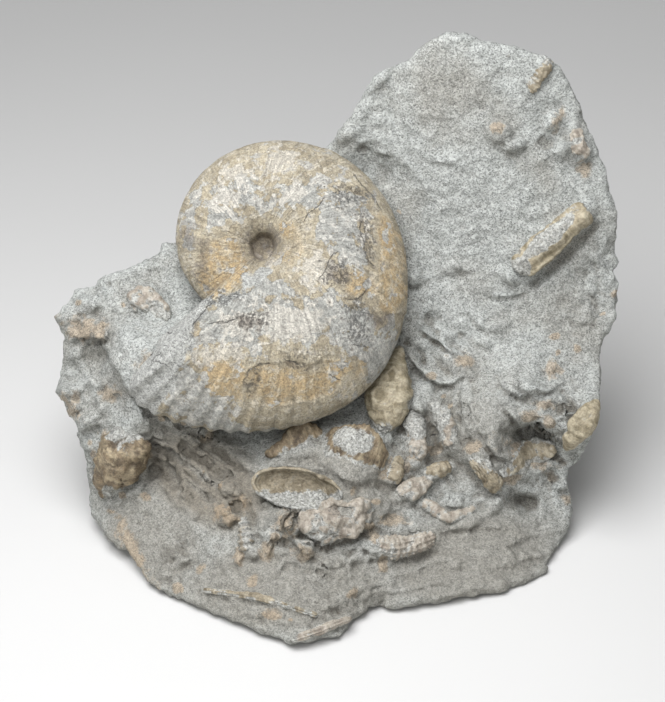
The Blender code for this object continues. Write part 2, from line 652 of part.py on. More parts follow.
def valve_mesh(shape, grow, hollow):
    """The open half shell: an oval bowl that opens towards the eye, or the solid oval that makes its room."""
    lengthwise = RIGHT * math.cos(VALVE_TURN) + UP * math.sin(VALVE_TURN)
    crosswise = TOWARDS_EYE.cross(lengthwise)
    outward = (TOWARDS_EYE - UP * VALVE_NOD).normalized()
    middle = on_picture(VALVE_MIDDLE, shape.lift(*VALVE_MIDDLE) + VALVE_RISE)
    levels = [(level, 0.0) for level in VALVE_LEVELS]
    if hollow:
        levels += [(level, VALVE_WALL) for level in reversed(VALVE_LEVELS)]
    else:
        levels += [(level, 0.0) for level in VALVE_LID_LEVELS]
    rings = []
    for level, wall in levels:
        along = (VALVE_HALF_LENGTH + grow - wall) * math.cos(level)
        across = (VALVE_HALF_WIDTH + grow - wall) * math.cos(level)
        floor = middle - outward * ((VALVE_DEPTH + grow - wall) * math.sin(level))
        turns = [2.0 * math.pi * step / VALVE_SIDES for step in range(VALVE_SIDES)]
        rings.append(
            [floor + lengthwise * along * math.cos(t) + crosswise * across * math.sin(t) for t in turns]
        )
    return solid_of_rings(rings)


def keep_largest_piece(obj):
    """Drops loose crumbs, and joins points that lie on one another."""
    bm = bmesh.new()
    bm.from_mesh(obj.data)
    bmesh.ops.remove_doubles(bm, verts=bm.verts, dist=CLOSE_POINTS * MM)
    unseen = set(bm.verts)
    largest = set()
    while unseen:
        frontier = [unseen.pop()]
        piece = set(frontier)
        while frontier:
            vertex = frontier.pop()
            fresh = {edge.other_vert(vertex) for edge in vertex.link_edges} & unseen
            unseen -= fresh
            piece |= fresh
            frontier.extend(fresh)
        largest = max(largest, piece, key=len)
    bmesh.ops.delete(bm, geom=[vertex for vertex in bm.verts if vertex not in largest], context="VERTS")
    bmesh.ops.triangulate(bm, faces=bm.faces)
    bm.to_mesh(obj.data)
    bm.free()


def subtract(obj, cutter):
    """Cuts one object by another and keeps the largest piece that is left."""
    modifier = obj.modifiers.new("room", "BOOLEAN")
    modifier.operation = "DIFFERENCE"
    modifier.solver = "EXACT"
    modifier.object = cutter
    apply_modifiers(obj)
    keep_largest_piece(obj)


def room_for_ammonite(ammonite, collection):
    """A copy of the ammonite that stands out from it on every side."""
    room = ammonite.copy()
    room.data = ammonite.data.copy()
    room.name = "room_for_ammonite"
    collection.objects.link(room)
    swell = room.modifiers.new("swell", "DISPLACE")
    swell.direction = "NORMAL"
    swell.mid_level = 0.0
    swell.strength = AMMONITE_GAP * MM
    apply_modifiers(room)
    return room


def boxes_meet(one, other):
    """Whether the bounding boxes of two objects overlap."""
    points = [np.array([vertex.co for vertex in obj.data.vertices]) for obj in (one, other)]
    lows = [p.min(axis=0) for p in points]
    highs = [p.max(axis=0) for p in points]
    return bool(np.all(lows[0] < highs[1]) and np.all(lows[1] < highs[0]))


def main():
    """Builds the block, the ammonite and the smaller shells, each in a pocket of its own."""
    clear_scene()
    parts = new_collection("ammonite_fossil")
    cutters = new_collection("cutters")
    stone = finish_material("grey_sandy_limestone", (0.42, 0.42, 0.39), 0.9)
    pearly = finish_material("tan_calcite_shell", (0.47, 0.40, 0.28), 0.6)
    brown = finish_material("brown_fossil_shell", (0.32, 0.25, 0.15), 0.5)
    shape = BlockShape()
    block = build_block(shape, parts, stone)
    ammonite = build_ammonite(parts, pearly)
    rooms = [room_for_ammonite(ammonite, cutters)]
    bodies = {"open_valve": (valve_mesh(shape, 0.0, True), valve_mesh(shape, POCKET_GAP, False))}
    for name, stations in SHELL_PIECES.items():
        bodies[name] = (piece_mesh(stations, shape, 0.0), piece_mesh(stations, shape, POCKET_GAP))
    for name, (body, room) in bodies.items():
        piece = make_object(name, body, parts, brown)
        for other in rooms:
            if boxes_meet(piece, other):
                subtract(piece, other)
        rooms.append(make_object("room_for_" + name, room, cutters, stone))
    for room in rooms:
        subtract(block, room)
        room.hide_render = True
        room.display_type = "WIRE"


main()
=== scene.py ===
"""The looks of an ammonite fossil and its block of grey sandy limestone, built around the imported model.

Lengths are in millimetres and are scaled to metres when a mesh is made. Places on the front are given as they
appear from the front and a little above: x and y in pixels of a 665 x 702 picture (x to the right, y down).
"""

from __future__ import annotations

import itertools
import logging
from collections.abc import Callable, Iterable, Sequence
from dataclasses import dataclass, field
from enum import Enum
from functools import partial
from math import copysign, cos, exp, pi, radians, sin, sqrt

import bmesh
import bpy
import numpy as np
from bpy.types import Material, Mesh, NodeSocket, Object
from mathutils import Matrix, Vector, noise
from numpy import ndarray


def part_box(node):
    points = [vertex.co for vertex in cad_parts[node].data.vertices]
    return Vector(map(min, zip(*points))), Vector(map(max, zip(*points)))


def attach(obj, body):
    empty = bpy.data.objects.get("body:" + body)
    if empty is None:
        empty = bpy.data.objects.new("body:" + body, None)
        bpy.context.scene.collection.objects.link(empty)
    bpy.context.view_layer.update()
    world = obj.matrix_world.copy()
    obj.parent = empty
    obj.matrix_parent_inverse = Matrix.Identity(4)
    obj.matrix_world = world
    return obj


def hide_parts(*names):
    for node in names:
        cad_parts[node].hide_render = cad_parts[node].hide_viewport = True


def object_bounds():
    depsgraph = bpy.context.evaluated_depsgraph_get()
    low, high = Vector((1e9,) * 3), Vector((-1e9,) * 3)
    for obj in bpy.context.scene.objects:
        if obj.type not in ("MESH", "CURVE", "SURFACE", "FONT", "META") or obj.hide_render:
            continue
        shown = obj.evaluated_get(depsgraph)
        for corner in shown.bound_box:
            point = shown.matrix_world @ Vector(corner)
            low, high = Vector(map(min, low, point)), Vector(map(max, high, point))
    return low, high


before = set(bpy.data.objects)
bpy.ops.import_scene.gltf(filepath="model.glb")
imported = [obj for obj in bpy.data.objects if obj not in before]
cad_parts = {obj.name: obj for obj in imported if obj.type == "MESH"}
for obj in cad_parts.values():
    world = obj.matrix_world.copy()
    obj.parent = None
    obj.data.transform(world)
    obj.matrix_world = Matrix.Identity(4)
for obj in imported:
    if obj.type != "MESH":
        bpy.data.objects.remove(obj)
cad_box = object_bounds()

LOG = logging.getLogger("ammonite_fossil")
MM = 0.001

Spot = tuple[float, float, float]
Dome = tuple[float, float, float, float, float, float]
Patch = tuple[float, float, float, float, float]
Line = Sequence[tuple[float, float]]
Stations = Sequence[tuple[float, float, float, float, float]]
Rule = Callable[[ndarray, ndarray], ndarray]
Inputs = dict[str | int, object]


# The front as it appears: its outline, its spot heights, and what rises from it

OUTLINE = [
    (431, 37), (446, 32), (466, 33), (482, 41), (502, 44), (524, 47), (546, 54), (561, 62), (569, 73),
    (579, 95), (587, 120), (600, 146), (609, 168), (614, 192), (620, 212), (621, 238), (617, 252),
    (621, 262), (614, 271), (621, 283), (620, 318), (606, 338), (602, 355), (601, 400), (599, 426),
    (588, 452), (582, 462), (568, 467), (567, 482), (575, 500), (573, 515), (562, 543), (553, 568),
    (545, 583), (528, 592), (480, 600), (440, 609), (393, 615), (371, 611), (353, 628), (344, 641),
    (318, 647), (292, 651), (268, 645), (240, 629), (212, 621), (182, 606), (160, 599), (147, 588),
    (127, 556), (105, 540), (90, 511), (87, 488), (83, 460), (73, 426), (55, 393), (61, 360), (61, 336),
    (50, 316), (66, 303), (75, 290), (94, 286), (104, 275), (120, 270), (140, 260), (158, 251), (161, 242),
    (176, 241), (196, 222), (228, 196), (270, 180), (306, 164), (328, 145), (342, 126), (353, 108),
    (364, 90), (374, 76), (384, 69), (404, 61), (419, 50),
]

# Spot heights of the front: x, y and height above the picture plane in millimetres
SPOT_HEIGHTS: list[Spot] = [
    # Slab
    (440, 40, 21), (540, 60, 19), (480, 120, 15), (400, 120, 12), (585, 130, 11), (350, 130, 7),
    (378, 168, 3), (450, 180, 9), (520, 180, 9), (595, 200, 7), (430, 240, 0), (500, 250, 3), (570, 250, 3),
    (612, 260, 0), (420, 300, -4), (470, 310, -2), (540, 310, -1), (605, 310, -2),
    # Ledge below the slab
    (430, 350, -4), (480, 350, -2), (540, 360, 1), (590, 370, 1), (430, 400, 0), (470, 420, 4),
    (525, 410, 6), (585, 400, 6), (590, 440, 5), (490, 430, 8), (508, 454, 6),
    # Hollow under the ledge
    (450, 460, 2), (520, 447, -4), (560, 470, -7), (480, 485, 5), (525, 503, 1), (565, 500, -6),
    (560, 530, -3),
    # Right foot
    (440, 520, 11), (500, 545, 11), (545, 565, 7), (430, 570, 19), (500, 580, 17), (400, 600, 25),
    (545, 583, 12), (440, 609, 25), (375, 612, 27),
    # Rubble in the middle
    (400, 545, 18), (360, 560, 25), (355, 600, 31), (330, 540, 25), (345, 510, 23), (300, 492, 21),
    (355, 460, 13), (300, 448, 8), (260, 450, 6), (400, 470, 7), (385, 430, 2),
    # Front foot
    (292, 645, 42), (290, 610, 40), (240, 600, 33), (322, 620, 38), (200, 592, 26), (165, 572, 17),
    (250, 570, 29), (300, 575, 33), (220, 530, 21), (160, 520, 9), (132, 500, 1), (200, 490, 12),
    (250, 500, 19), (345, 636, 38), (240, 624, 34), (182, 600, 23),
    # Recess under the ammonite
    (180, 455, 4), (222, 462, 5), (245, 440, 2), (165, 465, 0),
    # Left flank
    (96, 490, -8), (88, 450, -3), (120, 440, 5), (80, 400, -1), (72, 350, -3), (60, 315, -5), (98, 380, 1),
    (95, 310, 1),
    # Shoulder
    (120, 290, 4), (150, 270, 1), (170, 252, -2), (145, 308, 6), (186, 316, 9), (157, 324, 10),
    # Stone in the shell's mouth
    (122, 345, 14), (112, 352, 9), (126, 375, 14), (140, 392, 16), (145, 350, 21), (160, 345, 24),
    (155, 370, 24), (178, 352, 29),
    # Seat of the ammonite
    (263, 250, -10), (220, 215, -8), (300, 195, -5), (330, 300, -7), (380, 350, -5), (300, 380, -4),
    (220, 380, 1),
]

# Lumps and hollows: x, y, half length and half width in pixels, turn in degrees, and rise in millimetres
LUMPS: list[Dome] = [
    # Knobs of the left flank
    (66, 313, 17, 12, 10, 4.5), (88, 303, 15, 12, 40, 3.5), (73, 352, 15, 12, 80, 3),
    (95, 335, 16, 11, 20, 2.5), (66, 392, 14, 11, 60, 3), (86, 420, 16, 12, 70, 2.5),
    (100, 356, 12, 9, 0, -2.5), (105, 470, 12, 16, 0, 2.6), (112, 500, 12, 9, 0, 2),
    (135, 490, 14, 7, 30, 2.4), (150, 460, 8, 20, 10, -6),
    # Shoulder
    (118, 275, 16, 9, 20, 2.5), (150, 300, 24, 16, -35, 3), (124, 368, 18, 26, 20, 3),
    # Slab
    (500, 133, 15, 12, 0, 3.2), (515, 146, 12, 9, 10, 2.4), (552, 121, 13, 10, 60, 2.8),
    (562, 150, 12, 9, 60, 3), (582, 150, 14, 10, 70, 3.2), (375, 80, 20, 10, 40, 2),
    (372, 166, 22, 26, 0, -3), (508, 275, 15, 8, -30, 1.8), (452, 268, 13, 9, 0, 1.4),
    (498, 326, 14, 8, 10, 2), (460, 37, 18, 6, 0, 1.2), (345, 135, 12, 10, 40, 2), (395, 268, 10, 8, 0, 2),
    (585, 315, 14, 10, 30, 2.2), (432, 318, 12, 9, 30, -2),
    # Ledges
    (490, 414, 28, 40, 10, 5), (524, 374, 26, 17, -25, 2.4), (424, 416, 36, 11, -45, 2.6),
    (548, 446, 28, 9, -20, -3), (543, 412, 22, 10, -15, 2), (420, 335, 20, 14, -30, 2.4),
    (455, 362, 26, 12, -40, 3), (545, 395, 26, 10, -25, 3.2), (520, 385, 22, 9, -20, 2),
    (418, 400, 14, 26, -25, 4), (462, 395, 12, 22, 0, 2.5), (430, 420, 12, 10, 0, -3.5),
    (560, 425, 20, 12, 15, 4), (525, 436, 26, 7, -10, -5), (560, 456, 22, 8, -25, -3),
    (470, 455, 24, 12, -15, 4), (535, 468, 26, 12, 20, 2.8), (528, 505, 14, 12, 0, -4.5),
    (495, 505, 12, 9, 30, 2.4), (455, 500, 18, 9, 0, 2),
    # Rubble
    (420, 527, 30, 10, 10, 3), (470, 520, 24, 9, 20, 2.6), (330, 525, 26, 14, 15, 3),
    (375, 500, 20, 14, -40, 3), (288, 522, 14, 18, 20, 3.6), (262, 530, 20, 14, 0, 3),
    (310, 520, 7, 12, 0, -4), (335, 560, 14, 9, 0, 2.6), (305, 548, 12, 8, 20, 2.2),
    (253, 548, 9, 12, 0, 2.5), (228, 488, 18, 9, -20, 3.5), (240, 505, 10, 5, 0, -2.6),
    # Foot and recess
    (200, 470, 18, 7, -40, 2), (250, 465, 20, 7, -40, 2), (175, 560, 11, 11, 0, 2), (165, 572, 9, 9, 0, 1.8),
    (192, 425, 26, 6, -22, 3), (160, 418, 14, 6, -30, 2.4), (255, 612, 14, 8, 0, 1.4),
    (340, 600, 20, 8, 25, 2), (375, 590, 22, 9, 30, 1.8), (480, 560, 40, 8, 10, 1.6),
    (440, 585, 36, 7, 8, 1.4),
]

# Smaller knobs and pits, in the same six numbers
KNOBS: list[Dome] = [
    # Mouth stone
    (132, 340, 24, 16, -30, 2), (150, 366, 24, 12, 60, 1.6), (168, 344, 16, 8, 30, 1.2),
    (128, 318, 12, 7, 20, -1.2), (150, 392, 16, 7, -30, 1.4), (118, 300, 12, 14, 0, 1.2),
    (176, 330, 14, 5, 30, -0.9), (182, 262, 16, 10, 20, 1.2), (150, 262, 16, 9, -20, 1.4),
    (104, 292, 12, 8, 10, 1.2), (160, 362, 9, 5, 20, 0.8), (121, 400, 14, 9, 40, -1.8),
    # Left flank
    (50, 314, 7, 6, 0, 1.2), (66, 299, 8, 6, 20, 1.2), (82, 288, 9, 6, 20, 1), (59, 336, 9, 7, 60, 1.2),
    (54, 389, 7, 8, 0, 1.2), (80, 385, 8, 8, 0, 1.8), (66, 389, 8, 7, 0, 1.4), (74, 406, 8, 6, 10, 1.6),
    (81, 420, 9, 8, 0, 1.8), (100, 412, 12, 5, 60, 1.4), (92, 326, 15, 8, 10, 1.8), (109, 394, 6, 6, 0, 1),
    (92, 355, 12, 14, 0, -0.8), (93, 470, 5, 5, 0, -1.6), (116, 486, 9, 6, -30, 1.8),
    (104, 497, 5, 8, 20, 1.2), (128, 432, 16, 6, 30, 1.4), (75, 438, 8, 9, 0, 1), (88, 446, 7, 6, 0, 1.2),
    # Recess
    (225, 514, 14, 8, -20, 2.2), (237, 513, 5, 5, 0, -1.6), (183, 491, 6, 12, 0, 1.8),
    (202, 490, 8, 5, 0, 1.6), (170, 554, 9, 7, 30, 2), (183, 542, 8, 6, 0, 2.2), (183, 541, 4, 3, 0, -2.4),
    (184, 560, 8, 6, 20, 1.8),
    # Slab
    (434, 38, 7, 5, 0, 1), (364, 149, 5, 4, 0, -1.8), (394, 181, 22, 20, 0, -1.6), (483, 107, 6, 5, 0, -0.8),
    (503, 75, 13, 7, 0, -0.6), (497, 128, 7, 5, 0, 0.9), (510, 146, 6, 5, 0, 1.1), (546, 142, 9, 7, 0, -1.1),
    (565, 146, 7, 7, 0, 1.4), (414, 276, 8, 7, 0, 1.8), (415, 288, 8, 4, 0, -1), (460, 292, 5, 4, 0, -0.6),
    (439, 280, 5, 4, 0, -0.6), (510, 280, 9, 5, -45, 1.2), (464, 360, 9, 6, 0, 0.9),
    # Ledges
    (552, 366, 6, 8, 0, 1.4), (544, 404, 8, 5, 0, 1), (530, 415, 8, 5, 0, 1), (589, 457, 8, 7, 20, 1.6),
    (532, 433, 13, 8, -10, -2.8), (527, 475, 7, 6, 0, 1.8), (508, 477, 6, 6, 0, 1.4),
    (514, 501, 9, 7, 0, -2.6), (567, 500, 5, 5, 0, 1.6), (567, 500, 2, 2, 0, -1.8),
    (434, 440, 5, 20, 0, -2.8),
    # Rubble
    (262, 524, 7, 7, 0, 2), (272, 536, 7, 6, 0, 1.6), (267, 550, 5, 7, 0, 1.8), (295, 561, 8, 5, 0, 1.6),
    (280, 551, 7, 6, 0, 1.4), (307, 552, 8, 10, 0, 2), (323, 565, 9, 8, 0, 1.8), (286, 525, 7, 10, 10, 2.2),
    (311, 541, 6, 6, 0, 1.6), (344, 575, 9, 6, 0, 1.2), (406, 477, 5, 5, 0, 1.6), (315, 432, 9, 7, 0, -2.8),
]

# Broken edges: the line's points, how far the stone on its left-hand side stands up, and how far that reaches
LEDGES: list[tuple[Line, float, float]] = [
    ([(373, 150), (383, 155), (391, 157)], 1.6, 9),
    ([(416, 153), (430, 161), (455, 165), (471, 173)], 0.7, 9),
    ([(451, 264), (460, 271), (471, 273)], 1.3, 8), ([(481, 298), (515, 296), (531, 291)], 0.9, 12),
    ([(474, 321), (485, 332)], 1.4, 9), ([(408, 319), (428, 335), (449, 350), (474, 364)], 1.8, 10),
    ([(471, 339), (492, 350)], 1.2, 9), ([(385, 609), (430, 602), (493, 587)], 0.8, 10),
    ([(404, 343), (408, 356), (416, 368), (428, 378), (440, 384), (452, 384), (460, 378),
     (466, 372)], 2.8, 13),
    ([(496, 376), (503, 386), (512, 393), (522, 398), (532, 396)], 2.6, 14),
    ([(532, 386), (540, 391), (550, 391), (558, 387)], 1.8, 8),
    ([(505, 408), (514, 418), (520, 427), (530, 424), (540, 424), (548, 432), (557, 441),
     (572, 445)], 5.5, 13),
    ([(408, 408), (424, 414), (436, 430), (441, 446), (449, 451), (458, 445)], 4.2, 12),
    ([(460, 384), (462, 410), (463, 438)], 2.4, 12),
    ([(402, 444), (405, 456), (412, 462), (424, 458), (434, 449)], 3.6, 10),
    ([(484, 440), (495, 456), (510, 462), (520, 453), (522, 440)], 3, 11),
    ([(109, 318), (106, 332), (105, 346), (111, 362), (116, 373), (123, 385), (132, 394), (142, 401),
     (160, 411)], 4.5, 13),
    ([(60, 342), (72, 342), (84, 337), (96, 340), (106, 338), (109, 326)], 4, 12),
    ([(138, 436), (144, 422), (142, 410), (134, 400)], 3.2, 10), ([(62, 409), (72, 413), (82, 409)], 2, 8),
    ([(70, 427), (80, 431), (93, 426)], 2.4, 8), ([(57, 389), (66, 396), (76, 394)], 1.6, 7),
    ([(285, 509), (300, 512), (318, 509), (336, 507)], 3, 10),
    ([(301, 516), (309, 534), (322, 546), (345, 537), (372, 523)], 3.4, 12),
    ([(280, 522), (288, 534), (293, 524)], 1.5, 8), ([(300, 545), (308, 560), (318, 552)], 1.3, 8),
    ([(318, 562), (325, 574), (336, 572)], 1.2, 8), ([(256, 530), (264, 541), (276, 541)], 1.2, 8),
    ([(340, 552), (362, 548), (380, 556), (404, 558), (434, 547)], 2, 9),
    ([(212, 522), (228, 526), (240, 514)], 1.8, 8), ([(174, 490), (184, 500), (194, 492)], 1.3, 8),
    ([(331, 470), (345, 480), (362, 481), (376, 474)], 2.4, 9),
    ([(262, 470), (285, 466), (310, 468), (332, 476)], 1.2, 6),
    ([(450, 496), (458, 499), (468, 496)], 1.4, 6), ([(386, 480), (394, 484), (402, 476)], 1.6, 6),
    ([(402, 498), (414, 503), (430, 492)], 1.4, 6),
    ([(162, 420), (176, 434), (192, 432), (206, 438), (226, 442)], 1.6, 7),
    ([(150, 596), (164, 590), (178, 596)], 0.8, 8), ([(124, 318), (150, 330), (172, 334)], 1, 8),
    ([(118, 280), (128, 300), (126, 316)], 1, 8), ([(572, 160), (583, 164), (592, 158)], 1.6, 8),
    ([(500, 148), (510, 153), (520, 150)], 1.2, 7), ([(405, 283), (414, 286), (423, 282)], 1.8, 7),
    ([(506, 275), (512, 285), (520, 282)], 1, 7), ([(596, 336), (602, 352), (598, 372)], 1.2, 8),
    ([(552, 466), (562, 478), (556, 470)], 1, 6), ([(344, 597), (362, 590), (384, 584)], 1.2, 9),
    ([(420, 536), (450, 531), (480, 526), (510, 530)], 1.2, 9),
    ([(398, 330), (402, 342), (399, 360)], 1.4, 7),
]

# Long ridges: the line's points, rise and half width
RIDGES: list[tuple[Line, float, float]] = [
    ([(406, 163), (416, 172), (426, 189)], 1, 5), ([(391, 70), (373, 89), (357, 130)], 0.8, 6),
    ([(442, 332), (456, 334)], 0.9, 3), ([(150, 432), (175, 450), (205, 478)], 2.6, 5),
    ([(150, 478), (172, 492), (190, 512)], 1.8, 5), ([(180, 466), (198, 472), (216, 486)], 1.4, 4),
    ([(172, 425), (200, 446), (232, 470)], 2.6, 4), ([(205, 432), (230, 450), (252, 472)], 2.2, 4),
    ([(160, 455), (180, 474), (196, 486)], 1.6, 3), ([(190, 444), (215, 466), (236, 490)], 1.8, 4),
    ([(392, 575), (440, 562), (500, 548), (545, 530)], 1.1, 4),
    ([(390, 592), (440, 580), (500, 566), (552, 548)], 1.1, 4),
    ([(430, 562), (470, 552), (520, 536)], 0.9, 3),
    ([(400, 601), (460, 590), (520, 578), (548, 568)], 0.8, 4),
    ([(121, 526), (132, 553), (146, 580)], 1.2, 5), ([(207, 545), (222, 560), (232, 580)], 1, 5),
    ([(377, 440), (380, 460), (383, 480)], 1.2, 2.5), ([(386, 430), (392, 450), (389, 470)], 1, 2.5),
    ([(79, 371), (87, 376), (93, 384), (96, 398), (102, 408)], 1.6, 3),
    ([(80, 390), (84, 400), (92, 402)], 1.2, 3),
    ([(262, 464), (285, 456), (315, 457), (330, 468), (343, 480)], 2, 6),
    ([(442, 340), (450, 350), (456, 362), (454, 376)], 1.3, 3),
    ([(98, 280), (108, 292), (106, 310)], 1.4, 5), ([(75, 292), (84, 302), (100, 304)], 1.2, 5),
    ([(56, 318), (70, 322), (86, 318)], 1.2, 5), ([(140, 500), (160, 520), (170, 540)], 0.9, 5),
    ([(185, 510), (200, 530), (206, 548)], 0.9, 5), ([(236, 560), (262, 572), (290, 574)], 0.8, 5),
    ([(104, 424), (122, 418), (138, 420)], 1.4, 5), ([(430, 500), (455, 508), (480, 500)], 0.9, 4),
]

# Clefts: the line's points, depth and half width
CLEFTS: list[tuple[Line, float, float]] = [
    ([(340, 628), (360, 618), (375, 610), (384, 600)], 1.8, 3),
    ([(146, 436), (151, 452), (148, 476)], 5.5, 6), ([(535, 284), (562, 260), (595, 226)], 3, 5),
    ([(88, 340), (98, 342), (106, 341)], 2.6, 3), ([(66, 411), (80, 414)], 1.6, 3),
    ([(58, 376), (68, 379)], 1.4, 3), ([(372, 562), (415, 558), (436, 552)], 1.6, 3),
    ([(404, 342), (415, 346), (421, 353), (425, 364)], 1.5, 3),
    ([(410, 413), (424, 419), (434, 434)], 3.5, 5), ([(298, 510), (300, 522), (302, 536)], 2, 4),
    ([(250, 508), (254, 530), (256, 552)], 1.8, 4), ([(521, 431), (534, 429), (546, 434)], 6.5, 4.5),
    ([(512, 495), (528, 503)], 5, 6), ([(470, 470), (482, 484), (494, 487)], 3, 4),
    ([(237, 506), (242, 518), (238, 526)], 1.4, 4), ([(222, 528), (232, 530)], 1, 3),
    ([(312, 428), (317, 438), (316, 446)], 3, 5), ([(280, 543), (296, 548), (300, 558)], 1, 3),
    ([(404, 466), (412, 470), (424, 466)], 2, 3), ([(186, 452), (206, 462), (226, 480)], 1.8, 3),
    ([(160, 468), (172, 484), (190, 496)], 1.4, 3), ([(92, 469), (95, 473)], 2, 3),
    ([(140, 404), (152, 418), (164, 428)], 2.5, 4), ([(574, 162), (590, 163)], 1.6, 3),
    ([(322, 543), (350, 540), (376, 530)], 2, 3), ([(540, 367), (545, 375)], 1.2, 2),
    ([(116, 500), (104, 499)], 1.6, 3), ([(78, 372), (84, 374)], 1.2, 2), ([(392, 437), (384, 470)], 1.2, 3),
]

# Stones strewn over the front: middle, half length, half width and turn of the region, how many there are,
# the smallest and largest half length in pixels, the rise of the largest in millimetres, and how many are tan
CRUMBS: list[tuple[Patch, int, tuple[float, float], float, float]] = [
    ((80, 375, 36, 95, 0), 46, (3, 9), 2, 0.1), ((112, 480, 38, 48, 0), 34, (3, 10), 1.8, 0.2),
    ((122, 284, 58, 24, 20), 24, (3, 9), 1.4, 0.1), ((320, 530, 100, 52, 0), 90, (3, 11), 2.8, 0.2),
    ((470, 440, 85, 72, 0), 60, (3, 10), 2, 0.15), ((565, 450, 38, 60, 0), 34, (3, 11), 2.6, 0.15),
    ((200, 485, 74, 46, -30), 50, (3, 10), 2.2, 0.12), ((430, 345, 50, 34, 0), 20, (3, 8), 1, 0.1),
    ((490, 180, 130, 130, 0), 50, (2.5, 7), 0.7, 0.05), ((602, 262, 22, 66, 0), 26, (3, 8), 1.2, 0.05),
    ((480, 560, 100, 40, 10), 28, (3, 9), 0.8, 0.05), ((250, 600, 120, 36, 0), 46, (3, 8), 0.9, 0.12),
    ((196, 430, 44, 12, -20), 26, (4, 9), 2, 0.1), ((570, 340, 45, 40, 0), 24, (3, 8), 0.9, 0.1),
]

# Where the stone's own grain of lumps is coarse: x, y, half length, half width and turn
KNOBBLY: list[Patch] = [
    (80, 370, 60, 120, 0), (120, 480, 50, 50, 0), (125, 285, 60, 26, 20), (105, 400, 40, 60, 0),
]
RUBBLY: list[Patch] = [
    (330, 510, 110, 70, 0), (450, 440, 110, 80, 0), (560, 440, 60, 90, 0), (220, 480, 90, 60, -30),
    (430, 345, 60, 40, -20), (590, 300, 40, 60, 0), (180, 560, 90, 50, -30), (290, 600, 110, 40, 0),
]

# Where the stone is warm and darker, and how strongly: the warm tint is its own, the darkening is painted
# shade, deepest in the recess under the ammonite and on the feet
WARM_SHADED_GROUND: list[tuple[Patch, float]] = [
    ((70, 395, 26, 80, 0), 0.1), ((330, 490, 110, 70, 0), 0.65), ((470, 440, 90, 66, -10), 0.45),
    ((205, 480, 100, 60, -30), 1), ((290, 590, 170, 66, 0), 0.65), ((470, 560, 130, 70, 10), 0.65),
    ((150, 545, 80, 80, -30), 0.6), ((110, 490, 36, 60, 0), 0.3),
]

# Where the stone splits along its bedding
BEDDED: list[Patch] = [
    (470, 570, 130, 60, 10), (350, 590, 80, 40, -10),
]

# Where it is splintered, below the ammonite, and which way the splinters run
SPLINTERED: list[Patch] = [(192, 470, 66, 40, -30)]
SPLINTERS_RUN = np.array((0.8, -0.42, -0.42))

# The stones that the block is packed with: size in millimetres, seed and mean height
STONES = ((8.0, 3, 0.6), (4.2, 4, 0.7), (2.2, 5, 0.8))

# How strongly large, middle and small stones, waves and fine waves show on each kind of ground
GROUNDS = {
    "knobbly": (0.9, 0.5, 0.15, 0.5, 0.3), "rubbly": (0.5, 0.5, 0.3, 0.5, 0.35),
    "plain": (0, 0.1, 0.08, 0.35, 0.25), "hidden": (0.4, 0.2, 0.1, 0.9, 0.3),
}

# The hollow for the open valve, in the lumps' six numbers
BOWL: Dome = (297, 489, 44, 20, -11, 4.5)

# Tan stains and pale crusts on the stone
TAN_STAINS: list[Patch] = [
    (558, 120, 5, 12, -20), (584, 170, 6, 10, 0), (464, 360, 12, 7, -20), (553, 368, 8, 9, 0),
    (544, 405, 12, 6, 0), (530, 416, 10, 6, 0), (50, 314, 8, 7, 0), (109, 394, 8, 7, 0), (267, 550, 7, 9, 0),
    (288, 534, 7, 7, 0), (286, 523, 10, 12, 0), (270, 615, 10, 5, 0), (567, 500, 6, 6, 0),
    (497, 128, 8, 5, 0), (225, 515, 16, 9, -20), (135, 555, 8, 34, 25), (528, 456, 30, 10, -25),
    (152, 372, 14, 16, 0), (85, 330, 20, 12, 0), (66, 410, 14, 16, 0), (505, 480, 14, 8, 0),
    (396, 470, 16, 10, 0), (240, 504, 12, 8, 0), (392, 520, 14, 6, 0), (106, 455, 12, 14, 0),
    (303, 553, 9, 8, 0), (418, 452, 12, 8, 0), (322, 528, 20, 10, 0),
]
# Dark patches, nearly all in the stone's pits, hollows and clefts: painted shade there
PIT_SHADE_AND_DARK_STAINS: list[Patch] = [
    (545, 142, 9, 7, 0), (508, 56, 3, 2, 0), (364, 149, 6, 5, 0), (532, 433, 16, 8, -10),
    (514, 501, 10, 8, 0), (315, 436, 9, 7, 0), (237, 512, 6, 5, 0), (222, 522, 5, 4, 0), (94, 471, 5, 5, 0),
    (156, 458, 8, 22, 10), (170, 554, 8, 7, 0), (298, 519, 4, 7, 0), (567, 500, 2, 2, 0),
]


